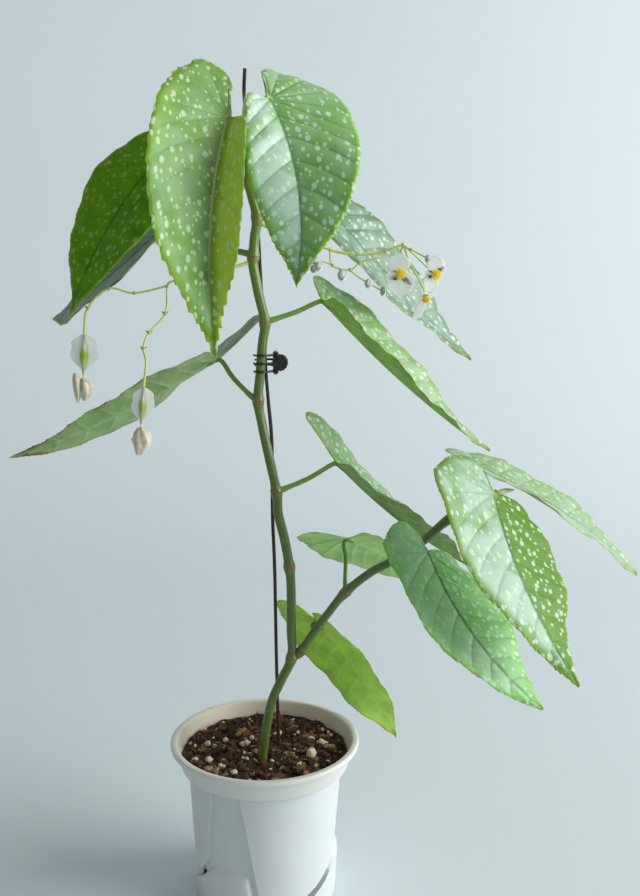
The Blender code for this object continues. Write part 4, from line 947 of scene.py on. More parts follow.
LEAVES = {
    "top_left": Leaf(
        base=(-13.8, -41, 482.8), tip=(-20.2, -70, 356.3), facing=(-0.15, -0.97, 0.19),
        arch=62, fold=38, cup=14, sweep=-2, twist=21, left=(43, 33, 0.32), right=(24, -10, 0.39),
        taper=0.19, stalk=((-7, -7.5, 466.5), (-9, -21, 468)),
    ),
    "top_right": Leaf(
        base=(7.8, -28, 493.6), tip=(22.9, -68.5, 393.4), facing=(0.56, -0.78, 0.30),
        arch=31, fold=13, cup=-11, sweep=5, twist=-61, left=(26, -1, 0.41), right=(43, 25, 0.09),
        taper=0.35, stalk=((-7.5, -8, 474), (-3, -15, 479)),
    ),
    "back_left_high": Leaf(
        base=(-61, 8, 462), tip=(-116, 12, 370), facing=(-0.40, -0.82, 0.40),
        arch=39, fold=7, cup=-7, sweep=1, twist=0, left=(31, 15, 0.24), right=(28, 20, 0.22),
        taper=0.22, stalk=((-6, -7, 450), (-22, 0, 464), (-45, 8, 468)),
    ),
    "back_left_low": Leaf(
        base=(-65, 33, 420.5), tip=(-136.5, 57, 367), facing=(-0.28, -0.42, 0.86),
        arch=8, fold=5, cup=14, sweep=13, twist=6, left=(22, 8, 0.24), right=(34, 14, 0.32),
        taper=0.36, stalk=((-3.5, -7, 409), (-11, -3.5, 410.5), (-30, 10, 414), (-48, 24, 416)),
    ),
    "left_long": Leaf(
        base=(-27.6, 4, 347.5), tip=(-153.6, 2, 287), facing=(0.06, 0.18, 0.98),
        arch=-15, fold=18, cup=5, sweep=-1, twist=-62, left=(32, 37, 0.19), right=(17, 0, 0.11),
        taper=0.23, stalk=((-1.5, -8, 323.5), (-7, -7, 327.5), (-17, -1.5, 337)),
    ),
    "back_right": Leaf(
        base=(42, 30, 434), tip=(132, 49, 341), facing=(0.25, -0.58, 0.78),
        arch=8, fold=12, cup=0, sweep=-6, twist=2, left=(23, 13, 0.24), right=(26, 10, 0.28),
        taper=0.26, stalk=((-1, -7, 431), (3, -3, 432), (20, 14, 433)),
    ),
    "right_high": Leaf(
        base=(38.2, 2, 382), tip=(140.4, 13, 288.9), facing=(0, -0.08, 1),
        arch=-12, fold=29, cup=5, sweep=-5, twist=-14, left=(18, -3, 0.34), right=(27, 15, 0.23),
        taper=0.22, stalk=((3, -7.5, 370), (8, -6, 371.5), (22, -2, 376)),
    ),
    "right_middle": Leaf(
        base=(47.1, 4, 283.2), tip=(132, 35, 208.5), facing=(0.21, -0.20, 0.96),
        arch=-16, fold=21, cup=-1, sweep=-1, twist=29, left=(29, 1, 0.46), right=(25, 36, 0.30),
        taper=0.32, stalk=((9, -8.5, 268), (14, -7, 269.8), (29, -2, 275.4)),
    ),
    "branch_end": Leaf(
        base=(131.5, -62, 279.8), tip=(170.6, -114, 188.6), facing=(0.69, -0.64, 0.35),
        arch=21, fold=-2, cup=2, sweep=-16, twist=-12, left=(41, 19, 0.04), right=(34, 2, 0.40),
        taper=0.23, stalk=((124.5, -51, 272.5), (126.5, -55, 274)), stalk_radius=1.3,
    ),
    "branch_front": Leaf(
        base=(96, -60, 245.5), tip=(155.4, -100, 169.4), facing=(0.72, -0.51, 0.47),
        arch=8, fold=-1, cup=1, sweep=-15, twist=-20, left=(32, 16, 0.04), right=(31, 3, 0.44),
        taper=0.29, stalk=((87.5, -37, 240.5), (88, -46, 239)),
    ),
    "branch_back": Leaf(
        base=(126, -25, 288), tip=(229, -9, 216), facing=(0.19, -0.13, 0.97),
        arch=25, fold=13, cup=5, sweep=-3, twist=-19, left=(27, 14, 0.27), right=(19, 18, 0.34),
        taper=0.34, stalk=((110, -46.5, 262), (113, -42, 270), (118, -33, 281)),
    ),
    "branch_small": Leaf(
        base=(52.1, 8, 234.4), tip=(115.2, 40, 192.1), facing=(-0.03, 0.54, 0.84),
        arch=18, fold=0, cup=-4, sweep=2, twist=0, left=(22, -1, 0.30), right=(32, 28, 0.22),
        taper=0.31, stalk=((50.5, -20, 208.5), (50.5, -13, 216), (51, -2, 224)), wave=0.8,
        stalk_radius=1.2,
    ),
    "low": Leaf(
        base=(34, 8, 179.5), tip=(86, 26, 91.5), facing=(0.55, 0.64, 0.53),
        arch=22, fold=-6, cup=-8, sweep=2, twist=14, left=(22, 12, 0.24), right=(31, 25, 0.23),
        taper=0.44, stalk=((28.5, -11.5, 176), (30, -5, 177), (31.5, 0, 177)), wave=0.8,
        stalk_radius=1.3,
    ),
}
print("leaves:", len(LEAVES))

# %% [markdown]
# The outline of one half is a smooth curve through eleven places: round the lobe, past the widest
# place and in a long taper to the tip. The bent blade then works like a spine with ribs: the spine
# arches and bows sideways, and each rib rises from it by the fold and the cup.

# %% Outline and bent blade
SINUS, VEIN_LEAD = 0.17, 0.75  # the notch at the base, and how far a vein's end lies ahead of its foot
FIRST_PICK, SOFT_FOLD = 3.0, 1.6  # where the margin's rows start, and how round the midrib's fold is


def half_outline(length, width, lobe, widest, taper, samples=700):
    wide = widest * length
    rest = length - wide
    points = (
        (0, 0), (-0.50 * lobe, 0.04 * width), (-0.86 * lobe, 0.16 * width), (-lobe, 0.38 * width),
        (-0.80 * lobe, 0.66 * width), (0.40 * wide - 0.30 * lobe, 0.92 * width), (wide, width),
        (wide + 0.33 * rest, 0.84 * width), (wide + 0.62 * rest, 0.9 * (0.28 + taper) * width),
        (wide + 0.85 * rest, 0.62 * taper * width), (length, 0),
    )
    edge = smooth_path(points, samples)
    edge[:, 1] = np.maximum(edge[:, 1], SINUS * np.maximum(-edge[:, 0], 0))
    return edge


class Blade:
    """Carries points of the flat leaf, along and out from its midrib, onto the bent blade."""

    def __init__(self, leaf):
        self.leaf = leaf
        self.base = np.asarray(leaf.base, float)
        chord = np.asarray(leaf.tip, float) - self.base
        self.way = unit(chord)
        facing = np.asarray(leaf.facing, float)
        self.up = unit(facing - self.way * (facing @ self.way))
        self.across = np.cross(self.up, self.way)
        self.bend = radians(leaf.arch)
        self.length = np.linalg.norm(chord) * (self.bend / 2) / sin(self.bend / 2)

    def frame(self, along):
        """The midrib's places at distances along it, with the blade's way, up and across there."""
        leaf, share = self.leaf, np.atleast_1d(along) / self.length
        turn = (self.bend * (0.5 - np.maximum(share, -0.35)))[:, None]
        ray = self.length / self.bend
        reach = ray * (sin(self.bend / 2) - np.sin(turn))
        lift = ray * (np.cos(turn) - cos(self.bend / 2))
        way = np.cos(turn) * self.way + np.sin(turn) * self.up
        up = np.cos(turn) * self.up - np.sin(turn) * self.way
        inside = np.maximum(share, 0)[:, None]
        bow = 4 * leaf.sweep * share[:, None] * (1 - inside)
        slope = 4 * leaf.sweep / self.length * (1 - 2 * inside)
        place = self.base + reach * self.way + lift * self.up + bow * self.across
        across = unit(self.across - slope * way)
        roll = np.radians(leaf.twist * np.clip(share, -0.3, 1))[:, None]
        turned_up = np.cos(roll) * up + np.sin(roll) * across
        return place, way, turned_up, np.cos(roll) * across - np.sin(roll) * up

    def surface(self, along, out, width, lift):
        """Places on the blade. out is positive to the right, seen from above with the tip down."""
        place, _, up, across = self.frame(along)
        away = np.sqrt(out**2 + SOFT_FOLD**2) - SOFT_FOLD
        rise_angle = np.radians(self.leaf.fold + self.leaf.cup * np.abs(out) / (2 * width))
        sideways = (out * np.cos(rise_angle))[:, None] * across
        return place + sideways + (away * np.sin(rise_angle) + lift)[:, None] * up


print("longest blade:", round(max(Blade(leaf).length for leaf in LEAVES.values())), "mm")

# %% [markdown]
# ### Veins, quilting and teeth
#
# The rows of the mesh run the way the veins do, from the midrib out to the margin, so a vein is
# simply one row. Between two veins the blade puffs up like quilting, and along a vein it sinks on
# top and stands out below. The margin carries small teeth that point to the tip; each tooth has its
# own length and height, drawn from a seeded list.

# %% One half of a fine blade
ACROSS, LOBE_VEIN_GAP = 20, 17.0
VEIN_STATIONS = (0.0, 0.10, 0.22, 0.35, 0.49, 0.63, 0.77, 0.90)


def teeth(run, seed, tip_teeth, coarse):
    """How far the margin stands out at each distance along it; coarse makes every tooth larger."""
    draw = np.random.default_rng(seed)
    out, start = np.zeros_like(run), 0.0
    while start < run[-1]:
        pitch = draw.uniform(2.0, 4.6) * coarse
        height = draw.uniform(0.25, 0.75) * coarse * (1 + tip_teeth * (start / run[-1]) ** 3)
        share = (run - start) / pitch
        inside = (share >= 0) & (share < 1)
        saw = np.where(share < 0.72, share / 0.72, (1 - share) / 0.28)
        out[inside] += (height * saw)[inside]
        start += pitch
    return out


def half_rows(blade, side, shape, spacing, seed, quilt, tip_teeth, coarse):
    """One half as grids: flat places, lift, vein mark and margin mark, and where the fan ends."""
    leaf = blade.leaf
    width, lobe, widest = shape
    edge = half_outline(blade.length, width, lobe, widest, leaf.taper)
    foot = edge[:, 0] - VEIN_LEAD * edge[:, 1]
    run = distances(edge)
    start = max(np.nonzero(foot <= 0)[0])
    turns = np.arctan2(edge[1:, 1], edge[1:, 0])
    shoulder = 1 + max(np.nonzero(turns >= turns.max() - 0.002)[0])
    first = max(run[shoulder], FIRST_PICK)
    fan = max(4, int((run[start] - first) / spacing))
    stations = max(60, int(blade.length / spacing / 0.9))
    steps = blade.length * np.arange(1, stations) / stations
    picks = np.interp(steps, foot[start:], run[start:])
    picks = np.concatenate([np.linspace(first, run[start], fan), picks])
    inner = np.concatenate([np.zeros(fan), steps])
    outer = np.stack([np.interp(picks, run, edge[:, 0]), np.interp(picks, run, edge[:, 1])], axis=1)
    shares = np.linspace(0, 1, ACROSS + 1)[None, :, None]
    root = np.stack([inner, np.zeros_like(inner)], axis=1)[:, None, :]
    flat = root * (1 - shares) + outer[:, None, :] * shares
    settle = eased(inner, 0, 0.2 * blade.length)[:, None]
    flat[:, :, 0] -= 0.25 * settle * outer[:, 1:2] * shares[:, :, 0] * (1 - shares[:, :, 0])
    outward = unit(outer - root[:, 0, :])
    tooth = teeth(run, seed, tip_teeth, coarse)
    stand = np.interp(picks, run, tooth) * np.clip((blade.length - inner) / 6, 0, 1)
    flat += (outward * stand[:, None])[:, None, :] * shares**14
    fade = shares[0, :, 0][None, :]

    veins = [0.0] + [fan + stations * s for s in VEIN_STATIONS] + [len(picks) + 1.0]
    lobe_veins = max(0, int((run[start] - first) / LOBE_VEIN_GAP))
    veins[1:1] = [fan * (k + 0.5) / (lobe_veins + 0.5) for k in range(lobe_veins)]
    veins = np.array(sorted(veins))
    row = np.arange(len(picks), dtype=float)[:, None]
    slot_number = np.clip(np.searchsorted(veins, row[:, 0], side="right") - 1, 0, len(veins) - 2)
    low, high = veins[slot_number][:, None], veins[slot_number + 1][:, None]
    between = (row - low) / (high - low)
    pitch = np.linalg.norm(np.gradient(flat, axis=0), axis=2)
    away = np.minimum(between, 1 - between) * (high - low) * pitch
    edge_row = (row < 0.5) | (row > len(picks) - 1.5)
    vein = np.exp(-((away / (0.45 + 0.75 * (1 - fade))) ** 2)) * (1 - fade) ** 0.35
    vein = np.where(edge_row, 0.0, vein)
    gap = (high - low) * pitch
    puff = np.sin(pi * between) * np.sin(pi * np.clip(fade * 0.94, 0, 1)) ** 0.7
    lift = quilt * puff * np.clip(gap / 14, 0, 1) - 0.35 * vein
    wave = leaf.wave * np.sin(2 * pi * 3.2 * picks / run[-1] + side)[:, None] * fade**2
    ruffle = 0.4 * np.sin(2 * pi * 11 * picks / run[-1] + 2 * side)[:, None] * fade**5
    lift = lift + wave + ruffle - 0.5 * fade**12
    margin = (1 - fade) * np.linalg.norm(outer - root[:, 0, :], axis=1)[:, None]
    flat[:, :, 1] *= side
    return flat, lift, vein, margin, stations, inner


# %% [markdown]
# The two halves share the midrib. The whole is a thin closed shell: the same grid once above and
# once below, sewn together along the margin, with the midrib and the veins standing out below.

# %% A whole blade
BLADE_THICK, RIB_DEPTH = 0.6, 1.0


def surface_normals(points, faces):
    corners = points[np.asarray(faces)]
    flat = np.cross(corners[:, 2] - corners[:, 0], corners[:, 3] - corners[:, 1])
    normals = np.zeros_like(points)
    for k in range(4):
        np.add.at(normals, np.asarray(faces)[:, k], flat)
    return normals / np.maximum(np.linalg.norm(normals, axis=1, keepdims=True), 1e-9)


def blade_parts(leaf, spacing, seed, quilt, tip_teeth, coarse):
    """(shape, number of upper faces, flat marks, vein marks) of one blade."""
    blade = Blade(leaf)
    halves = {}
    for side, shape in ((-1, leaf.left), (1, leaf.right)):
        halves[side] = half_rows(blade, side, shape, spacing, seed + side, quilt, tip_teeth, coarse)
    stations = halves[1][4]
    along = blade.length * np.arange(stations + 1) / stations
    points = [blade.surface(along, np.zeros_like(along), 1.0, np.full_like(along, -0.35))]
    flat = [np.stack([along, np.zeros_like(along)], axis=1)]
    vein, margin = [np.ones_like(along)], [np.full_like(along, 30.0)]
    quads, border, start = [], {}, stations + 1
    for side, (places, lift, strength, edge, _, inner) in halves.items():
        rows, columns = places.shape[:2]
        width = (leaf.left if side < 0 else leaf.right)[0]
        inside = places[:, 1:].reshape(-1, 2)
        points.append(blade.surface(inside[:, 0], inside[:, 1], width, lift[:, 1:].ravel()))
        flat.append(inside)
        vein.append(strength[:, 1:].ravel())
        margin.append(np.broadcast_to(edge, strength.shape)[:, 1:].ravel())
        spine = np.round(inner / blade.length * stations).astype(int)
        grid = np.column_stack([spine, start + np.arange(rows * (columns - 1)).reshape(rows, -1)])
        grid = np.vstack([grid, np.full(columns, stations)])
        start += rows * (columns - 1)
        a, b, c, d = grid[:-1, :-1], grid[:-1, 1:], grid[1:, 1:], grid[1:, :-1]
        these = np.stack([a, b, c, d], axis=2).reshape(-1, 4)
        quads.append(these if side == 1 else these[:, ::-1])
        border[side] = [0, *grid[0, 1:], *grid[1:-1, -1], stations]
    points, flat, quads = np.vstack(points), np.vstack(flat), np.vstack(quads)
    vein, margin = np.concatenate(vein), np.concatenate(margin)
    normals = surface_normals(points, quads)
    if normals[0] @ blade.up < 0:
        quads, normals = quads[:, ::-1], -normals
    share = np.clip(flat[:, 0] / blade.length, 0, 1)
    spine = np.exp(-((flat[:, 1] / (0.7 + 0.9 * (1 - share))) ** 2))
    thin = (BLADE_THICK / 2 * np.clip(0.25 + margin / 1.5, 0, 1))[:, None]
    rib = (RIB_DEPTH * (1 - share) * spine + 0.3 * vein * (1 - 0.5 * share))[:, None]
    top, bottom = points + normals * thin, points - normals * (thin + rib)
    count = len(points)
    faces = [tuple(dict.fromkeys(face)) for face in quads.tolist()]
    faces = [face for face in faces if len(face) > 2]
    upper = len(faces)
    faces += [tuple(count + k for k in reversed(face)) for face in faces]
    loop = border[1][:-1] + border[-1][:0:-1]
    for a, b in zip(loop, loop[1:] + loop[:1]):
        faces.append((a, b, count + b, count + a))
    hub = np.exp(-((np.linalg.norm(flat, axis=1) / 2.6) ** 2))
    midrib = np.exp(-((flat[:, 1] / (0.5 + 0.8 * (1 - share))) ** 2))
    strongest = np.maximum(vein * (1 - 0.4 * share), midrib)
    flat_marks = np.tile(np.column_stack([flat, share]), (2, 1))
    vein_marks = np.tile(np.column_stack([strongest, margin, hub]), (2, 1))
    return (np.vstack([top, bottom]), faces), upper, flat_marks, vein_marks


# %% [markdown]
# ### The leaf's colours, with painted light
#
# The upper side is satin green with silver-white oval spots, each its own size. Spots could be
# modelled, but on the real leaf they are air pockets under a smooth skin, so they belong to the
# finish: a Voronoi pattern in the leaf's flat coordinates gives one spot a cell, and the cell's
# random colour decides how large it is, or that there is none. The margin is yellow-green and the
# veins are tinted. One half of each leaf is painted with light: a yellow glow where light comes through the
# young leaves, a darker green as painted shade on others.


# %% Spots and fine veins
def spots(flat, cell, smallest, largest, share, soft, shift):
    """1 inside the spots of a pattern with one spot in most cells, and 0 between them."""
    wobble = grain(flat, 0.55, 2.0)
    moved = node("VectorMath", {0: flat, 1: (shift, 2 * shift, 0)}, operation="ADD")
    squeezed = stretched(moved.outputs[0], (0.82 / cell, 1 / cell, 0))
    cells = node("TexVoronoi", {"Vector": squeezed, "Scale": 1.0, "Randomness": 0.85},
                 voronoi_dimensions="2D")
    chance = node("SeparateColor", {0: cells.outputs["Color"]})
    size = maths("MULTIPLY_ADD", maths("POWER", chance.outputs[0], 1.6),
                 (largest - smallest) / cell, smallest / cell)
    size = times(size, maths("LESS_THAN", chance.outputs[1], share))
    ragged = times(maths("SUBTRACT", wobble, 0.5), 0.7 / cell)
    away = maths("ADD", cells.outputs["Distance"], ragged)
    return rise(maths("SUBTRACT", size, away), -0.5 * soft / cell, 0.5 * soft / cell)


def fine_net(flat, scale, width):
    """1 on the net of fine veins between the large ones."""
    cells = node("TexVoronoi", {"Vector": flat, "Scale": scale, "Randomness": 0.9},
                 voronoi_dimensions="2D", feature="DISTANCE_TO_EDGE")
    return rise(cells.outputs["Distance"], width, 0.0)


# %% [markdown]
# Each leaf has its own look: deep and light greens for the upper side, painted light on one half
# (side 1 is the right one), lighter where light comes through and darker as painted shade on some
# leaves, a painted sheen on a half, the tints of its veins, midrib and spots, and the colour of its
# underside. A table of plain values is easier to tune than thirteen shaders.

# %% Looks of the leaves
@dataclass
class Look:
    deep: tuple
    light: tuple
    # glow is painted light on the half given by side, up to reach: lighter where light comes through,
    # darker as painted shade on some leaves
    glow: tuple
    under: tuple
    side: int = 1
    reach: float = 0.3
    # the painted sheen that stands in for reflected light, on the left and right half
    sheen_shares: tuple = (0.3, 0.3)  # on the left and right half
    vein: tuple = (70, 122, 60)
    vein_share: float = 0.25
    rib: tuple = (64, 112, 56)
    rib_share: float = 0.5
    spot: tuple = (206, 225, 202)
    coat: float = 0.3
    shine: float = 0.4
    dry: float = 0.0  # how brown the dry patches on the underside's margin are


LOOKS = {
    "top_left": Look(
        (88, 138, 10), (114, 160, 24), (198, 220, 84), (150, 186, 110), reach=0.9, sheen_shares=(0.24, 0.0),
        vein=(110, 160, 50), rib=(196, 216, 150), rib_share=0.8, spot=(200, 220, 180), coat=0.1, shine=0.2),
    "top_right": Look(
        (88, 150, 42), (124, 178, 68), (122, 176, 60), (150, 186, 110), reach=0.5, sheen_shares=(0.8, 0.3),
        vein=(60, 118, 56), vein_share=0.4, spot=(214, 230, 216)),
    "back_left_high": Look(
        (80, 138, 0), (108, 162, 4), (112, 166, 6), (118, 160, 88), side=-1, sheen_shares=(0.0, 0.0),
        vein=(58, 104, 14), rib=(60, 108, 16), coat=0.0, spot=(150, 184, 104), shine=0.12),
    "back_left_low": Look(
        (70, 108, 66), (96, 132, 84), (100, 140, 84), (124, 164, 104), sheen_shares=(0.2, 0.2),
        spot=(140, 170, 140), coat=0.1),
    "left_long": Look(
        (104, 142, 76), (126, 162, 96), (128, 166, 92), (150, 182, 118), sheen_shares=(0.2, 0.2),
        spot=(150, 180, 124), coat=0.15, dry=0.8),
    "back_right": Look(
        (76, 116, 84), (94, 132, 98), (98, 136, 84), (124, 168, 96), sheen_shares=(0.34, 0.34),
        spot=(200, 220, 206)),
    "right_high": Look(
        (92, 142, 84), (118, 162, 100), (140, 184, 60), (146, 186, 62), reach=0.5, sheen_shares=(0.5, 0.3),
        spot=(200, 220, 200), dry=0.7),
    "right_middle": Look(
        (88, 136, 80), (110, 152, 92), (130, 172, 60), (134, 170, 80), reach=0.4, sheen_shares=(0.2, 0.12),
        spot=(200, 220, 200), dry=0.85),
    "branch_end": Look(
        (88, 140, 26), (110, 156, 40), (92, 138, 8), (140, 180, 96), reach=0.9, sheen_shares=(0.7, 0.0),
        vein=(62, 118, 52), rib=(44, 96, 52), rib_share=0.7, spot=(206, 226, 200), coat=0.05, shine=0.3),
    "branch_front": Look(
        (136, 206, 110), (160, 222, 132), (112, 188, 70), (110, 152, 84), reach=0.7, sheen_shares=(0.5, 0.2),
        vein=(46, 100, 44), rib=(34, 84, 44), rib_share=0.7, spot=(208, 228, 208), coat=0.2),
    "branch_back": Look(
        (118, 160, 108), (136, 176, 118), (140, 172, 84), (140, 180, 96), reach=0.4, sheen_shares=(0.35, 0.25),
        spot=(196, 216, 180)),
    # the undersides of branch_small and low are painted bright yellow-green, as painted light coming
    # through from behind
    "branch_small": Look(
        (96, 144, 74), (118, 162, 90), (118, 164, 84), (184, 224, 136), sheen_shares=(0.1, 0.1),
        spot=(180, 204, 160), coat=0.15),
    "low": Look(
        (104, 150, 50), (124, 166, 62), (124, 168, 60), (196, 240, 98), sheen_shares=(0.0, 0.0),
        spot=(170, 204, 120), coat=0.15),
}


# %% [markdown]
# The upper side is laid on like paint, coat over coat: two greens, painted light on one half, the
# painted sheen, the net and the veins, the midrib, the margin, the pale hub at the stalk and the spots.

# %% Upper side
LEAF_GLOW = (0.35, 0.001, (0.8, 1.2, 0.3))


def painted_sheen(out, flat, margin, shares):
    """A painted sheen that stands in for reflected light: strong on one half, in broad soft patches, and
    gone at the margin.
    """
    half = rise(out, -1.5, 1.5, *shares)
    patches = rise(grain(flat, 0.05, 2.0, 0.5, 0.6), 0.34, 0.6, 0.35, 1.0)
    return times(times(half, patches), rise(margin, 1.0, 6.0, 0.1, 1.0))


def leaf_top(name, look):
    made = finish("leaf_top_" + name, LEAF_GLOW, Roughness=0.4, Coat_Weight=look.coat,
                  Coat_Roughness=0.3, Specular_IOR_Level=look.shine)
    _, out, share, flat = mark("flat")
    vein, margin, hub, _ = mark("veins")
    cloud = rise(grain(flat, 0.07, 3.0), 0.3, 0.7)
    # painted light on one half: lighter where light comes through, darker as painted shade on some leaves
    glow = rise(times(out, look.side), -2.0, 9.0, 0.0, look.reach)
    net = fine_net(flat, 0.62, 0.09)
    rib = rise(maths("ABSOLUTE", out), 1.5, 0.5, 0.0, look.rib_share)
    large = spots(flat, 5.6, 0.75, 1.55, 0.78, 0.7, 3.0)
    small = spots(flat, 4.4, 0.45, 0.85, 0.4, 0.6, 41.0)
    clear = times(rise(vein, 0.8, 0.4), 0.75)
    paint(cloud, look.deep, look.light,
          (glow, look.glow),
          # a painted sheen: pale patches standing in for reflected light
          (painted_sheen(out, flat, margin, look.sheen_shares), (198, 219, 208)),
          (times(net, 0.1), look.vein),
          (times(vein, look.vein_share), look.vein),
          (times(rib, rise(share, 1.0, 0.3)), look.rib),
          (rise(margin, 1.6, 0.2, 0.0, 0.7), (150, 182, 52)),
          (rise(hub, 0.25, 0.9, 0.0, 0.8), (186, 206, 130)),
          (times(maths("MAXIMUM", large, small), clear), look.spot))
    satin = rise(grain(flat, 0.5, 2.0), 0.3, 0.7, 0.34, 0.46)
    shade("Roughness", satin)
    skin = times(grain(flat, 1.4, 2.0), 0.6)
    relief(maths("SUBTRACT", skin, times(net, 0.5)), 0.00018)
    return made


# %% [markdown]
# The underside is paler and duller, its veins are lighter ridges, and the spots show through it
# only as faint pale patches. On older leaves the margin has dried brown here and there.


# %% Underside
def leaf_under(name, look):
    made = finish("leaf_under_" + name, LEAF_GLOW, Roughness=0.5)
    *_, flat = mark("flat")
    vein, margin, *_ = mark("veins")
    cloud = rise(grain(flat, 0.06, 3.0), 0.3, 0.7)
    under = np.array(look.under)
    pale = np.minimum(under * 1.12 + 14, 255)
    net = fine_net(flat, 0.5, 0.10)
    through = spots(flat, 5.6, 0.8, 1.75, 0.78, 1.4, 3.0)
    dry = rise(grain(flat, 0.07, 1.0), 0.5, 0.56, 0.0, look.dry)
    paint(cloud, under * 0.9, under * 1.05,
          (times(net, 0.22), pale),
          (times(vein, 0.55), pale),
          (times(through, 0.16), (200, 222, 178)),
          (rise(margin, 1.6, 0.1, 0.0, 0.4), (140, 160, 60)),
          (times(rise(margin, 2.0, 0.8), dry), (142, 98, 60)))
    height = maths("ADD", grain(flat, 1.2, 2.0), times(net, 0.8))
    relief(height, 0.0002)
    return made


# %% [markdown]
# The leaf stalk is round and fleshy, swells where it leaves the cane, and bends over just below the
# blade, which it enters from behind. Its path takes the stalk's own places and ends inside the
# midrib, so that no gap shows from below.

# %% Leaf stalks
STALK_SIDES = 20


def stalk_parts(leaf, count=70):
    blade = Blade(leaf)
    below, way, up, _ = (part[0] for part in blade.frame(0.0))
    inner, _, inner_up, _ = (part[0] for part in blade.frame(7.0))
    path = [*leaf.stalk, below - 4.5 * up - 2.5 * way, below - 1.3 * up, inner - 1.0 * inner_up]
    points = smooth_path(path, count)
    radii = np.interp(np.linspace(0, 1, count), (0, 0.1, 0.22, 0.78, 0.93, 1),
                      (1.35, 1.2, 1.0, 0.95, 0.9, 0.45))
    shape = tube(points, leaf.stalk_radius * radii, STALK_SIDES)
    return shape, tube_marks(points, STALK_SIDES)


def stalk_finish():
    made = finish("leaf_stalk", (0.2, 0.001, (0.6, 1.0, 0.3)), Roughness=0.42)
    run, turn, _, _ = mark("stem")
    streaks = grain(lengthwise(turn, run, 14.0, 0.06), 1.5, 3.0, 0.6)
    flecks = rise(grain(object_place(), 700.0, 2.0), 0.62, 0.72, 0.0, 0.35)
    paint(streaks, (84, 132, 44), (126, 168, 72),
          (rise(run, 6.0, 1.0, 0.0, 0.7), (150, 112, 62)), (flecks, (176, 190, 128)))
    relief(streaks, 0.0002)
    return made


# %% [markdown]
# Each leaf is made and gets its two finishes. The four that fill the front have closer rows, and
# the tables below say which are puffed up more, and which have longer or coarser teeth.

# %% Make the leaves
NEAR_SPACING, FAR_SPACING = 0.8, 1.1
NEAR_LEAVES = ("top_left", "top_right", "branch_end", "branch_front")
QUILTS = {"top_right": 1.0, "top_left": 0.6, "branch_end": 0.6, "branch_front": 0.55}
JAGS = {"top_left": 1.2, "branch_end": 1.2}
COARSE = {"top_left": 2.0, "top_right": 1.2}

stalk_green = stalk_finish()
for number, (name, leaf) in enumerate(LEAVES.items()):
    spacing = NEAR_SPACING if name in NEAR_LEAVES else FAR_SPACING
    shape, upper, flat_marks, vein_marks = blade_parts(
        leaf, spacing, 100 + 10 * number, QUILTS.get(name, 0.45), JAGS.get(name, 0.4),
        COARSE.get(name, 1.0))
    numbers = np.arange(len(shape[1])) >= upper
    look = LOOKS[name]
    piece("blade_" + name, shape, [leaf_top(name, look), leaf_under(name, look)], "leaf_" + name,
          "leaf", numbers=numbers, marks={"flat": flat_marks, "veins": vein_marks}, crease=180)
    marked_piece("stalk_" + name, [stalk_parts(leaf)], "stem", stalk_green, "leaf_" + name, "leaf",
                 hides=False, crease=180)

# %% [markdown]
# ## The support stick
#
# A thin split-cane stick, stained dark, holds the plant up. It is a tube that is never quite round:
# fine grain runs along it and the stain has worn to tan near the top.

# %% Stick
STICK_RADIUS = 1.1
STICK = (
    (9.5, 5.5, 40), (8.5, 5, 96), (7.5, 4, 162), (7, 3, 214.5), (6, 1.5, 251.5), (6, 0, 296.5),
    (4.2, -2.8, 323.5), (3, -4.5, 340.5), (2.5, -3.9, 352), (1.5, -1, 369.5), (0, -0.5, 402.5),
    (-0.5, 0, 414.5), (-3, 1, 446), (-5.5, 1, 471), (-8, 1, 498), (-7.5, 1, 513),
)


def stick_parts(sides=18, count=260):
    points = smooth_path(STICK, count)
    rough = skin_noise(points[:, 2] * 0.05, around(sides), 2.2)
    return tube(points, STICK_RADIUS * (0.97 + 0.12 * rough), sides), tube_marks(points, sides)


def stick_finish():
    made = finish("stick", Roughness=0.5)
    run, turn, _, _ = mark("stem")
    fibres = grain(lengthwise(turn, run, 9.0, 0.03), 2.4, 5.0, 0.7)
    worn = times(rise(run, 434.0, 444.0), rise(run, 464.0, 458.0))
    worn = times(worn, rise(fibres, 0.3, 0.6, 0.3, 0.9))
    paint(fibres, (34, 17, 12), (74, 38, 26),
          (worn, (176, 126, 86)))
    shade("Roughness", rise(fibres, 0.2, 0.8, 0.4, 0.7))
    relief(fibres, 0.0003)
    return made


marked_piece("stained_stick", [stick_parts()], "stem", stick_finish(), "support_stick", "stick")

# %% [markdown]
# ## The clip
#
# A small black claw clip holds the cane to the stick: two round thumb pads, hinge barrels on a
# steel pin, and claws that reach round the cane from both sides. The pieces overlap where the mould
# would make them one, with every edge a little rounded as moulded plastic is.

# %% Clip sizes
PIN = (9.0, -5.0)
PIN_RADIUS, BARREL_RADIUS, PIN_HEAD = 0.6, 1.7, (1.3, 0.5)
CLIP_LOW, CLIP_HIGH, CLIP_GAP = 339.6, 352.4, 0.3
CLAW_RADIUS, CLAW_RING, CLAW_CENTRE = 0.75, 4.3, (0.4, -7.6)
FRONT_CLAW_TURNS = (-42, -68, -95, -122, -150, -178, -195)
BACK_CLAW = ((8.4, -3.4), (5.8, -1.9), (3.0, -1.2), (0.4, -1.7), (-2.2, -3.2), (-3.4, -5.0))
FRONT_CLAW_HEIGHTS, MIDDLE_CLAW_HEIGHT, BACK_CLAW_HEIGHTS = (341.2, 350.8), 346.0, (344.35, 347.65)
BAR_OUT, KNEE_OUT, WEB_OUT = 2.5, 1.9, 1.4
PAD_OUT, PAD_SHIFT, PAD_RADIUS, PAD_THICK = 4.0, 2.6, 4.75, 1.1
PAD_SCALLOPS, PAD_NOTCH, PAD_NECK = 14, 0.4, (2.4, 2.0, 6.6)
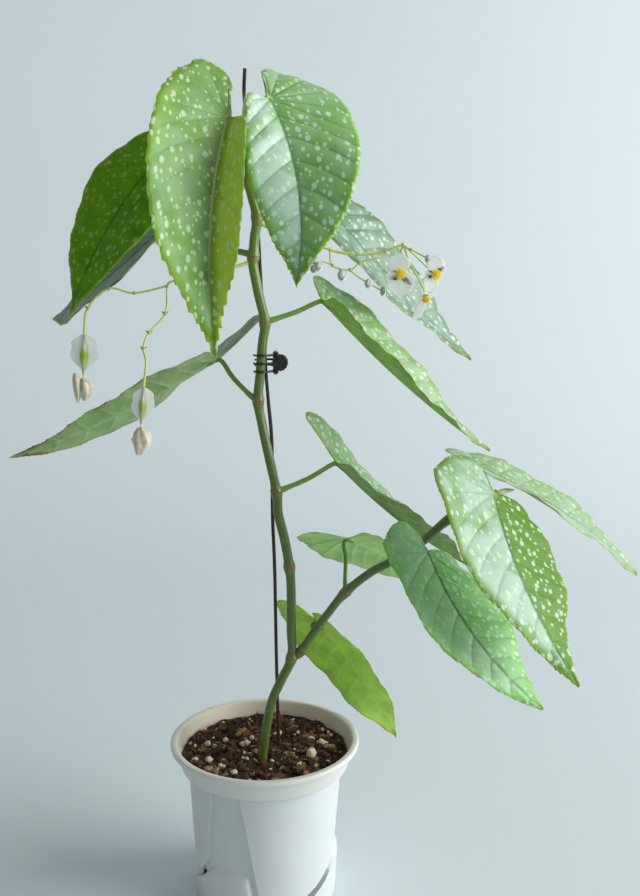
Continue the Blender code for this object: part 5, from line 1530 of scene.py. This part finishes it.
WEB_SIZE, KNEE_SIZE, BAR_SIZE = (1.8, 2.0), (2.4, 1.1, 1.4), (1.6, 0.8)


def claw(path, height):
    points = smooth_path([(*spot, height) for spot in path], 40)
    return tube(points, np.linspace(1.0, 0.65, 40) * CLAW_RADIUS, 14)


def front_claw_path(start):
    turns = np.radians(FRONT_CLAW_TURNS)
    bend = np.asarray(CLAW_CENTRE) + CLAW_RING * np.stack([np.cos(turns), np.sin(turns)], axis=1)
    return [start, *bend]


def barrel(low, high):
    """A hinge barrel with softened ends."""
    rows = ((low, 0.8), (low + 0.25, 1.0), (high - 0.25, 1.0), (high, 0.8))
    return tube([(*PIN, z) for z, _ in rows], [BARREL_RADIUS * share for _, share in rows], 28)


def thumb_pad(centre, side):
    """A round plate with a scalloped edge, softened rims and a shallow dish on its outer face."""
    sides = 8 * PAD_SCALLOPS
    turns = around(sides)
    edge = PAD_RADIUS - PAD_NOTCH * (0.5 - 0.5 * np.cos(PAD_SCALLOPS * turns))
    rows = ((-0.5, 0.88), (-0.4, 0.96), (-0.24, 1.0), (0.24, 1.0), (0.4, 0.96), (0.5, 0.88), (0.52, 0.76))
    points = [np.asarray(centre) + (0, side * PAD_THICK * level, 0) for level, _ in rows]
    radii = [share * (edge if share > 0.8 else PAD_RADIUS) * np.ones(sides) for _, share in rows]
    corners, faces = tube(points, radii, sides)
    corners[-1] -= (0, side * 0.4, 0)
    return corners, faces


def jaw_shapes(side, spans, claws, heights):
    """One half of the clip; side is -1 in front and 1 behind."""
    middle, height = (CLIP_LOW + CLIP_HIGH) / 2, CLIP_HIGH - CLIP_LOW

    def beside(right, out, z):
        return PIN[0] + right, PIN[1] + side * out, z

    shapes = [*claws, *(barrel(low, high) for low, high in spans)]
    shapes.append(thumb_pad(beside(PAD_SHIFT, PAD_OUT, middle), side))
    shapes.append(block(beside(PAD_NECK[0] / 2, (BAR_OUT + PAD_OUT) / 2, middle), PAD_NECK, 0.3))
    for low, high in spans:
        shapes.append(block(beside(0, WEB_OUT, (low + high) / 2), (*WEB_SIZE, high - low), 0.2))
    shapes += [block(beside(-0.4, KNEE_OUT, z), KNEE_SIZE, 0.25) for z in heights]
    return shapes + [block(beside(0.2, BAR_OUT, middle), (*BAR_SIZE, height), 0.25)]


# %% [markdown]
# The plastic is nearly black, with fine scuffs all over it; the pin is turned steel.

# %% Clip finish and clip
def clip_finish():
    made = finish("clip_plastic", Roughness=0.3, Coat_Weight=0.1, Coat_Roughness=0.3)
    scuffs = grain(stretched(object_place(), (900, 900, 260)), 1.0, 4.0, 0.65)
    paint(rise(scuffs, 0.5, 0.75), (20, 19, 16), (60, 58, 46))
    shade("Roughness", rise(scuffs, 0.3, 0.7, 0.24, 0.5))
    relief(scuffs, 0.00008)
    return made


def pin_finish():
    made = finish("pin_steel", Metallic=1.0, Roughness=0.3)
    lines = grain(stretched(object_place(), (400, 400, 3000)), 1.0, 3.0)
    paint(lines, (168, 168, 172), (206, 206, 208))
    shade("Roughness", rise(lines, 0.2, 0.8, 0.22, 0.42))
    return made


clip_black = clip_finish()
clip_height = CLIP_HIGH - CLIP_LOW
span_low, span_high = CLIP_LOW + 0.3 * clip_height, CLIP_HIGH - 0.3 * clip_height
front_spans = ((CLIP_LOW, span_low - CLIP_GAP / 2), (span_high + CLIP_GAP / 2, CLIP_HIGH))
back_spans = ((span_low + CLIP_GAP / 2, span_high - CLIP_GAP / 2),)
front_claws = [claw(front_claw_path((PIN[0] - 0.6, PIN[1] - 1.5)), z) for z in FRONT_CLAW_HEIGHTS]
front_claws.append(claw(front_claw_path((PIN[0] + 0.2, PIN[1] - BAR_OUT - 0.25)), MIDDLE_CLAW_HEIGHT))
back_claws = [claw(BACK_CLAW, z) for z in BACK_CLAW_HEIGHTS]
piece("clip_jaw_front", gather(jaw_shapes(-1, front_spans, front_claws, FRONT_CLAW_HEIGHTS))[0],
      [clip_black], "clip_front", "clip_plastic")
piece("clip_jaw_back", gather(jaw_shapes(1, back_spans, back_claws, BACK_CLAW_HEIGHTS))[0],
      [clip_black], "clip_back", "clip_plastic")
head, head_thick = PIN_HEAD
low, high = CLIP_LOW - CLIP_GAP, CLIP_HIGH + CLIP_GAP
pin_rows = [(low - head_thick, head * 0.75), (low - 0.3, head), (low, head), (low, PIN_RADIUS),
            (high, PIN_RADIUS), (high, head), (high + 0.3, head), (high + head_thick, head * 0.75)]
pin_corners = tube([(*PIN, z + 0.0001 * k) for k, (z, _) in enumerate(pin_rows)],
                   [radius for _, radius in pin_rows], 24)
piece("clip_hinge_pin", pin_corners, [pin_finish()], "clip_pin", "pin_steel")

# %% [markdown]
# ## Flower stalks
#
# Each flower stalk forks at small joints, and four joints of the left stalk each carry a pair of
# tiny dry scales. The stalk is pale yellow-green and turns reddish where it forks.

# %% Stalk shapes
STALK_RADII, TWIG_RADIUS = (1.06, 0.77), 0.6
LEFT_STALK = ((-3.5, -7, 406), (-11, -9.5, 403), (-31, -13, 398), (-49.5, -16, 394),
              (-52.5, -16, 391.5))
PODS = {  # where the twig ends, the pod's foot, its width, and each wilted petal's ends and radius
    "left": ((-101.3, -17, 364.2), (-102.6, -17, 336.8), 16.5, (
        ((-107.2, -18, 341.4), (-106.4, -18, 324), 2.6),
        ((-103.4, -16.4, 338.2), (-102.9, -16, 324.8), 4.3))),
    "right": ((-64.8, -36, 336), (-67, -36, 310.6), 12.8, (((-67.2, -36, 312.6), (-69, -36, 296.8), 5.2),)),
}
LEFT_JOINTS = ((-52.5, -16, 391.5), (-71.5, -16, 387.5), (-86, -16, 390), (-98.5, -17, 379),
               (-53.8, -19, 376), (-62.5, -25, 365.5), (-65, -31, 357))
LEFT_TWIGS = ((*LEFT_JOINTS[:4], PODS["left"][0]),
              (LEFT_JOINTS[0], *LEFT_JOINTS[4:], (-63, -35, 350), PODS["right"][0]))
HUB = (84, 4, 414.6)
RIGHT_STALK = ((-1, -7, 427.5), (3.5, -7, 425.5), (11, -4, 422.5), (23.5, 0, 418.5), (41, 3, 411.8),
               (49, 3.6, 409.8), (57, 4, 408.9), (66, 4, 409.2), (73.4, 4, 410.6), (79, 4, 412.8), HUB)
RIGHT_JOINTS = ((41, 3, 411.8), (57, 4, 408.9), (73.4, 4, 410.6), (42.6, 3, 402.6),
                (52.9, 3, 399.9), (58.8, 3, 404), (88.8, 4, 411.7), HUB)
RIGHT_TWIGS = (
    (RIGHT_JOINTS[0], RIGHT_JOINTS[3], RIGHT_JOINTS[4], RIGHT_JOINTS[5], (66.4, 3, 406.3),
     (70.4, 3.4, 407.2)),
    (RIGHT_JOINTS[3], (38, 2.6, 404.4), (33.2, 2, 403.6), (32.2, 2.3, 400.6)),
    ((46.5, 3, 401.2), (48.2, 2.2, 397.2)),
    (RIGHT_JOINTS[4], (56.5, 3, 396.9), (60.5, 2.6, 394.2), (63.6, 2, 392.2), (68, 2, 390),
     (72, 2, 387.6)),
    (HUB, (88.8, 4, 411.7), (94.5, 3, 408.8), (98.5, 2, 406.4)),
)
BLOOM_TWIGS = {
    "left": (HUB, (82.8, 6.5, 409)),
    "right": (HUB, (90, 6, 409.5), (98, 6.5, 402)),
    "low": (HUB, (88.5, 7.5, 404), (94.5, 5.5, 393)),
}
BUDS = (  # place, radius and half the length of each bud
    ((32.4, 2, 405.2), 2.3, 3.0), ((34.4, 1.6, 402), 2.3, 3.0), ((31.6, 2.6, 400.4), 2.1, 2.6),
    ((48.2, 2, 396.6), 2.6, 3.7), ((63.6, 2, 391.8), 2.1, 2.9), ((72.4, 2, 387), 1.7, 3.0),
    ((98.7, 2, 406.3), 2.0, 2.6),
)
BLOOMS = {  # middle, facing, stamens' radius, and each petal's turn (0 right, 90 up), length and width
    "left": ((82.4, 3.4, 397.2), (0.05, -1.0, 0.12), 2.5, (
        (-95, 13.5, 15.5), (98, 12.5, 13.5), (187, 8.5, 6.5), (-27, 12.5, 6.5))),
    "right": ((102.7, -0.4, 397.2), (0.15, -1.0, 0.05), 2.4, (
        (-122, 11.6, 10.0), (94, 11.5, 11.0), (35, 7.5, 4.5), (172, 6.5, 5.0))),
    "low": ((97.0, -4.3, 384.8), (0.1, -0.8, -0.6), 1.8, (
        (-112, 16.0, 5.6), (135, 7.5, 5.0), (40, 6.5, 4.0))),
}


def stem_with_marks(path, radii, count=60, sides=14):
    points = smooth_path(path, count)
    spread = np.interp(np.linspace(0, 1, count), np.linspace(0, 1, len(radii)), radii)
    return tube(points, spread, sides), tube_marks(points, sides)


# %% [markdown]
# Petals, seed wings and scales are all thin curved sheets: a grid of points, with a closed shell
# over it that has a top and a bottom. A petal's grid has a half width that follows a rounded rule,
# a droop along it, a cup across it and a slightly rippled margin.


# %% Petals
def sheet(flat, facing, thick, edge):
    """A closed shell over a grid of points: edge is its thickness from 0 to 1 across the grid."""
    shell = (thick / 2 * edge * np.ones(flat.shape[:2]))[:, :, None] * facing
    upper, lower = (flat + shell).reshape(-1, 3), (flat - shell).reshape(-1, 3)
    rows, columns = flat.shape[0] - 1, flat.shape[1] - 1
    count, wide = len(upper), columns + 1
    faces = []
    for row in range(rows):
        for column in range(columns):
            a = row * wide + column
            face = (a, a + 1, a + 1 + wide, a + wide)
            faces += [face, tuple(count + k for k in reversed(face))]
    loop = [*range(wide), *(r * wide + columns for r in range(1, rows + 1)),
            *(rows * wide + c for c in range(columns - 1, -1, -1)),
            *(r * wide for r in range(rows - 1, 0, -1))]
    for a, b in zip(loop, loop[1:] + loop[:1]):
        faces.append((a, b, count + b, count + a))
    return np.vstack([upper, lower]), faces


def sheet_marks(share, place, green):
    """The marks of a sheet's corners: place along it, place across it from -1 to 1, green."""
    marks = np.stack(np.broadcast_arrays(share, place, green), axis=2).reshape(-1, 3)
    return np.vstack([marks, marks])


def petal(base, way, facing, length, width, droop=0.15, blunt=0.75, cup=0.12, ripple=0.0, thick=0.3,
          rows=22, columns=12, tip=0.8):
    """A thin rounded petal and its marks: (share along it, place across from -1 to 1, 0)."""
    way = unit(way)
    facing = unit(np.asarray(facing, float) - way * (np.asarray(facing, float) @ way))
    across = np.cross(facing, way)
    share = np.linspace(0, 1, rows + 1)[:, None]
    place = np.linspace(-1, 1, columns + 1)[None, :]
    half = width / 2 * np.maximum(np.sin(pi * np.minimum(share, 0.992) ** blunt) ** tip, 0.12)
    lift = -droop * length * share**2 + cup * half * place**2
    lift = lift + ripple * np.sin(9 * share + 2.1 * place) * np.abs(place) ** 1.5 * share
    flat = (np.asarray(base, float) + (share * length)[:, :, None] * way
            + (half * place)[:, :, None] * across + lift[:, :, None] * facing)
    edge = np.clip(1.15 - np.abs(place) ** 6, 0.3, 1)
    return sheet(flat, facing, thick, edge), sheet_marks(share, place, 0.0)


def plain(shape, value=(0, 0, 0)):
    """A shape whose corners all carry the same mark."""
    return shape, [value] * len(shape[0])


# %% Flower stalk finish and stalks
def flower_stalk_finish():
    made = finish("flower_stalk", (0.25, 0.001, (1.0, 1.0, 0.3)), Roughness=0.45)
    _, _, dry, _ = mark("stem")
    place = object_place()
    cloud = grain(place, 160.0, 3.0)
    blush = rise(grain(place, 70.0, 2.0), 0.5, 0.7, 0.0, 0.25)
    paint(cloud, (184, 204, 96), (214, 224, 142),
          (blush, (188, 150, 88)), (dry, (150, 96, 62)))
    relief(grain(place, 900.0, 3.0), 0.0002)
    return made


def scale_pair(place):
    """Two small dry scales at a joint."""
    made = []
    for side in (-1, 1):
        shape, _ = petal(place, (side, 0.3, 0.6), (0.2, -1, 0.4), 2.5, 1.1, 0.1, rows=8, columns=6)
        made.append(plain(shape, (0, 0, 0.7)))
    return made


flower_green = flower_stalk_finish()
left_parts = [stem_with_marks(LEFT_STALK, STALK_RADII)]
left_parts += [stem_with_marks(twig, (TWIG_RADIUS, TWIG_RADIUS, 0.75)) for twig in LEFT_TWIGS]
left_parts += [plain(lump(place, (1.05, 1.15)), (0, 0, 0.35)) for place in LEFT_JOINTS]
for place in LEFT_JOINTS[3:]:
    left_parts += scale_pair(place)
marked_piece("pod_stalk", left_parts, "stem", flower_green, "flower_stalk_left", "flower_stalk",
             crease=60)

right_parts = [stem_with_marks(RIGHT_STALK, STALK_RADII)]
right_parts += [stem_with_marks(twig, (TWIG_RADIUS, 0.5)) for twig in RIGHT_TWIGS]
for name, path in BLOOM_TWIGS.items():
    centre, facing = np.asarray(BLOOMS[name][0], float), unit(BLOOMS[name][1])
    path = (*path, centre - 4.3 * facing, centre - 0.6 * facing)
    right_parts.append(stem_with_marks(path, (TWIG_RADIUS, 0.5)))
right_parts += [plain(lump(place, (1.05, 1.15)), (0, 0, 0.3)) for place in RIGHT_JOINTS]
marked_piece("bloom_stalk", right_parts, "stem", flower_green, "flower_stalk_right", "flower_stalk",
             crease=60)

# %% [markdown]
# ## Seed pods and blooms
#
# Petals are white and let light through, with faint veins along them. The pods' wings are creamier,
# and green beside the core, so one function makes both finishes from three colours.


# %% Petal finish
def petal_finish(name, root, rim, core):
    made = finish(name, (1.0, 0.004, (1.0, 1.0, 0.8)), Roughness=0.5)
    share, place, green, _ = mark("petal")
    veins = grain(lengthwise(place, share, 5.0), 2.2, 3.0, 0.55)
    paint(rise(share, 0.0, 0.45), root, rim,
          (rise(veins, 0.52, 0.7, 0.0, 0.2), (206, 214, 196)), (green, core))
    relief(veins, 0.0003)
    return made


petal_white = petal_finish("petal_white", (228, 236, 206), (248, 250, 248), (190, 206, 124))
wing_cream = petal_finish("wing_cream", (232, 236, 204), (234, 240, 228), (146, 172, 44))


# %% [markdown]
# A seed pod is a slim green core with three papery wings; the wilted petals still hang below. A
# wing's outline is wavy, so how far it reaches is read from a list of places along it and smoothed.
# The wilted petals are tubes whose skin is folded lengthwise and dented.

# %% Seed pods
POD_TURNS = (5.0, 168.0, 95.0)
AXIS_SHARES = (0.0, 0.2, 0.33, 0.47, 0.62, 0.74, 1.0)
AXIS_RADII = (0.6, 0.8, 2.0, 2.35, 1.9, 0.8, 0.75)
WING_SHARES = (0.0, 0.08, 0.18, 0.33, 0.5, 0.64, 0.76, 0.88, 1.0)
WING_REACHES = (0.05, 0.55, 0.92, 0.9, 1.05, 0.96, 0.6, 0.16, 0.05)
WILTED_SHARES = (0.35, 0.8, 1.0, 0.92, 0.62, 0.25)


def wing(top, drop, turn, reach):
    """One papery wing on the core's side, wavy in outline, green only beside the core."""
    out = np.array((cos(radians(turn)), sin(radians(turn)), 0))
    facing = np.array((-out[1], out[0], 0.0))
    share = np.linspace(0, 1, 61)[:, None]
    place = np.linspace(-1, 1, 17)[None, :]
    span = np.interp(share[:, 0], WING_SHARES, WING_REACHES)
    span = reach * np.convolve(np.pad(span, 4, "edge"), np.hanning(11)[1:-1] / 5, "valid")[:, None]
    away = (place + 1) / 2
    ripple = 0.6 * np.sin(8 * share + 2.5 * away + turn) * away**1.5
    flat = (top + (0.84 * share + 0 * place)[:, :, None] * drop + (span * away)[:, :, None] * out
            + ripple[:, :, None] * facing)
    middle = np.exp(-(((share - 0.5) / 0.28) ** 2))
    green = 0.75 * (1 - eased(away * span, 0.16 * reach, 0.52 * reach)) * middle
    return sheet(flat, facing, 0.35, np.clip(1.15 - away**8, 0.4, 1)), sheet_marks(share, place, green)


def pod_parts(top, foot, width):
    """A pod as (shape, marks) parts: its core on a thin neck, and three wings."""
    top = np.asarray(top, float) - (0, 0, SEAT)
    drop = np.asarray(foot, float) - top
    shares = np.linspace(0, 1, 48)
    radii = np.interp(shares, AXIS_SHARES, AXIS_RADII) * width / 16.5
    radii = np.maximum(np.convolve(np.pad(radii, 3, "edge"), np.ones(7) / 7, "valid"), 0.55)
    points = top + shares[:, None] * drop
    marks = np.array(tube_marks(points, 20))
    run = marks[:, 0] / marks[:, 0].max()
    green = np.exp(-(((run - 0.46) / 0.25) ** 2)) + 0.4 * eased(run, 0.55, 0.8)
    marks = np.stack([0 * run + 0.5, 0 * run, np.clip(green, 0.35, 1)], axis=1)
    parts = [(tube(points, radii, 20), marks)]
    return parts + [wing(top, drop, turn, 0.52 * width) for turn in POD_TURNS]


def wilted_parts(lobes, seed):
    """The wilted petals: soft crumpled lobes, folded lengthwise. Marks: share along, fold, 0."""
    draw = np.random.default_rng(seed)
    count, sides, parts = 40, 36, []
    turns = around(sides)
    for high, low, radius in lobes:
        shares = np.linspace(0, 1, count)
        path = smooth_path([high, (np.add(high, low) / 2) + (0.3 * radius, 0, 0), low], count)
        plump = radius * np.interp(shares, np.linspace(0, 1, 6), WILTED_SHARES)
        spin = draw.uniform(0, 2 * pi)
        folds = np.array([np.sin(5 * turns + spin + 2.2 * s) * 0.13 + np.sin(3 * turns - 1.6 * s) * 0.12
                          for s in shares])
        dents = skin_noise(5 * shares + spin, turns)
        shape = tube(path, plump[:, None] * (1 + folds + 0.22 * dents), sides)
        inner = np.stack([np.repeat(shares, sides), folds.ravel(), 0 * folds.ravel()], axis=1)
        parts.append((shape, np.vstack([[(0, 0, 0)], inner, [(1, 0, 0)]])))
    return parts


def wilted_finish():
    made = finish("wilted_petal", (0.4, 0.002, (1.0, 0.8, 0.5)), Roughness=0.6)
    share, fold, _, _ = mark("petal")
    cloud = grain(stretched(object_place(), (400, 400, 160)), 1.0, 4.0, 0.6)
    soft = rise(cloud, 0.3, 0.7)
    paint(soft, (206, 200, 176), (232, 229, 212),
          (rise(share, 0.4, 0.05, 0.0, 0.5), (186, 158, 122)),
          # painted shade: darker brown in the inward creases of the folds
          (rise(fold, 0.05, -0.2, 0.0, 0.35), (176, 152, 116)))
    relief(cloud, 0.0006)
    return made


wilted_brown = wilted_finish()
for number, (name, (top, foot, width, lobes)) in enumerate(PODS.items()):
    marked_piece("seed_pod_" + name, pod_parts(top, foot, width), "petal", wing_cream, "pod_" + name,
                 "petal_white", crease=180)
    marked_piece("wilted_petals_" + name, wilted_parts(lobes, 20 + number), "petal", wilted_brown,
                 "pod_" + name, "petal_white", hides=False, crease=180)


# %% [markdown]
# An open flower has broad and narrow petals, each turned about the flower's middle by its own angle.
# A bud is a small closed lump with two petals pressed to its sides.

# %% Blooms and buds
def bloom_parts(centre, facing, petals):
    facing = unit(facing)
    up = unit(np.array((0, 0, 1.0)) - facing * facing[2])
    across = np.cross(up, facing)
    centre = np.asarray(centre, float)
    parts = [plain(lump(centre, (1.7, 1.3), 16, 10, facing), (0.1, 0, 0.5))]
    for turn, length, width in petals:
        way = cos(radians(turn)) * across + sin(radians(turn)) * up
        parts.append(petal(centre + 0.3 * way, way + 0.25 * facing, facing, length, width, -0.12, 0.95,
                           0.16, 0.5, 0.3, 32, 20, 0.6))
    return parts


def bud_parts():
    parts = []
    for place, radius, half in BUDS:
        parts.append(plain(lump(place, (radius, half), 18, 12), (0.8, 0, 0.25)))
        for side in (-1, 1):
            start = np.asarray(place, float) + (0, 0.3 * side, 0.95 * half)
            parts.append(petal(start, (0.1 * side, 0.12 * side, -1), (0, side, 0.1), 2.0 * half,
                               2.0 * radius, -0.2, 0.8, 0.3, 0.2))
    return parts


for name, (centre, facing, _, petals) in BLOOMS.items():
    marked_piece("petals_" + name, bloom_parts(centre, facing, petals), "petal", petal_white,
                 "bloom_" + name, "petal_white", crease=180)
marked_piece("buds", bud_parts(), "petal", petal_white, "flower_stalk_right", "petal_white",
             hides=False, crease=180)

# %% [markdown]
# The stamens are a dome of short threads, each with a yellow anther like a grain of rice. One ball
# would look like a bead, so the threads are spread over the dome by the golden angle.

# %% Stamens
BLOOM_DEPTH = 1.3


def stamen_shapes(centre, facing, radius, count=46):
    facing = unit(facing)
    across = unit(np.cross(facing, ASKEW))
    side = np.cross(facing, across)
    middle = np.asarray(centre, float) + (BLOOM_DEPTH + SEAT) * facing
    shapes = [lump(middle + 0.45 * radius * facing, (0.6 * radius, 0.52 * radius), 14, 8, facing)]
    for number in range(count):
        lean = np.arccos(1 - (number + 0.5) / count)
        turn = number * pi * (3 - 5**0.5)
        way = cos(lean) * facing + sin(lean) * (cos(turn) * across + sin(turn) * side)
        root = middle + 0.28 * radius * facing
        tip = root + radius * (1.35 - 0.2 * sin(lean)) * way
        shapes.append(tube([root, (root + tip) / 2, tip], (0.16, 0.14, 0.14), 6))
        shapes.append(lump(tip, (0.34, 0.62), 8, 6, way))
    return shapes


def stamen_finish():
    made = finish("stamen_yellow", (0.15, 0.001, (1.0, 0.9, 0.2)), Roughness=0.55)
    dust = grain(object_place(), 1800.0, 3.0)
    paint(dust, (255, 222, 14), (255, 238, 86))
    relief(dust, 0.0003)
    return made


stamen_yellow = stamen_finish()
for name, (centre, facing, radius, _) in BLOOMS.items():
    piece("stamen_dome_" + name, gather(stamen_shapes(centre, facing, radius))[0], [stamen_yellow],
          "stamens_" + name, "stamen_yellow", crease=180)

# %% [markdown]
# ## Young sheaths
#
# At each growing tip a new leaf is still rolled inside a pale, papery sheath. It is a slim lens in
# section, pointed at its end.

# %% Sheaths
SHEATHS = {"top": (CANE[-1], (-7, -9, 497), 1.6), "branch": (BRANCH[-1], (146.5, -43, 277.8), 1.5)}


def sheath_finish():
    made = finish("young_sheath", (0.5, 0.0015, (1.0, 1.0, 0.5)), Roughness=0.4)
    share, turn, _, _ = mark("sheath")
    veins = grain(lengthwise(turn, share, 16.0), 1.8, 3.0)
    paint(share, (222, 228, 152), (240, 236, 198),
          (rise(veins, 0.45, 0.7, 0, 0.5), (186, 198, 116)),
          (rise(share, 0.9, 1.0, 0.0, 0.7), (188, 150, 112)))
    relief(veins, 0.0003)
    return made


sheath_cream = sheath_finish()
for name, (foot, tip, width) in SHEATHS.items():
    foot, tip = np.asarray(foot, float), np.asarray(tip, float)
    shares = np.linspace(0, 1, 40)
    seat = SEAT * unit(tip - foot)
    points = foot + seat + shares[:, None] * (tip - foot - seat)
    radii = width * np.maximum(np.sin(pi * shares**0.8) ** 0.8, 0.03)
    marks = np.array(tube_marks(points, 20))
    marks[:, 0] /= marks[:, 0].max()
    marked_piece("rolled_sheath_" + name, [(tube(points, radii, 20), marks)], "sheath", sheath_cream,
                 "young_sheath_" + name, "young_sheath", crease=180)

# %% [markdown]
# ## Room, light and camera
#
# The plant stands on a plain pale floor that sweeps up behind it, so that no line shows where the
# floor ends. It could be a plane and a wall, but a curve between them keeps the light even.

# %% Floor and backdrop
def backdrop():
    depth, radius, height, half = 1.15, 0.5, 3.2, 3.2
    profile = [(-2.6, 0.0), (depth - radius, 0.0)]
    for k in range(1, 13):
        turn = pi / 2 * k / 12
        profile.append((depth - radius + radius * sin(turn), radius * (1 - cos(turn))))
    profile.append((depth, height))
    corners = [(x, y, z - 0.0004) for y, z in profile for x in (-half, half)]
    faces = [(2 * k, 2 * k + 1, 2 * k + 3, 2 * k + 2) for k in range(len(profile) - 1)]
    mesh = bpy.data.meshes.new("backdrop")
    mesh.from_pydata(corners, [], faces)
    mesh.shade_smooth()
    made = finish("pale_paint", Roughness=0.85)
    cloud = grain(object_place(), 1.5, 3.0)
    paint(cloud, (205, 216, 219), (211, 221, 224))
    mesh.materials.append(made)
    placed("backdrop", mesh)
    print("backdrop:", len(faces), "faces")


backdrop()

# %% [markdown]
# The light is a big soft window on the right, pale light all round so that the satin leaves pick up
# broad soft sheens, and a small lamp that only brightens the wall on the left.


# %% Light
def soft_light(name, place, target, size, power, tint, spread=180):
    lamp = bpy.data.lights.new(name, "AREA")
    lamp.size, lamp.energy, lamp.color, lamp.spread = size, power, tint, radians(spread)
    made = placed(name, lamp)
    made.location = place
    made.rotation_euler = (Vector(target) - Vector(place)).to_track_quat("-Z", "Y").to_euler()
    print(name, power, "W")


soft_light("window_right", (1.9, -0.35, 1.0), (0, 0, 0.25), 1.7, 55, (1.0, 1.0, 0.99))
soft_light("wall_light", (-1.5, 0.2, 0.9), (-0.5, 1.15, 0.5), 1.2, 1.7, (0.95, 0.98, 1.0), 80)
world = bpy.data.worlds.new("pale_room")
world.use_nodes = True
all_round = world.node_tree.nodes["Background"].inputs
all_round["Color"].default_value = (0.90, 0.93, 0.94, 1)
all_round["Strength"].default_value = 0.34
bpy.context.scene.world = world
bpy.context.scene.view_settings.view_transform = "Standard"

# %% [markdown]
# The camera stands about where the photograph was taken from: well above the middle of the plant,
# looking slightly down. Its lens is given as a length in pixels of the photograph's frame.

# %% Camera
SENSOR, FOCAL_IN_PIXELS, FRAME_HEIGHT = 36.0, 1100.0, 896
CAMERA_PLACE, CAMERA_DROOP = (0.0352, -0.6536, 0.4252), 11.4
camera = bpy.data.cameras.new("camera")
camera.sensor_width = SENSOR
camera.lens = FOCAL_IN_PIXELS / FRAME_HEIGHT * SENSOR
camera.clip_start = 0.01
viewer = placed("camera", camera)
viewer.location = CAMERA_PLACE
viewer.rotation_euler = (radians(90 - CAMERA_DROOP), 0, 0)
bpy.context.scene.camera = viewer
print("camera sees", round(2 * degrees(atan(FRAME_HEIGHT / 2 / FOCAL_IN_PIXELS)), 1), "degrees of height")
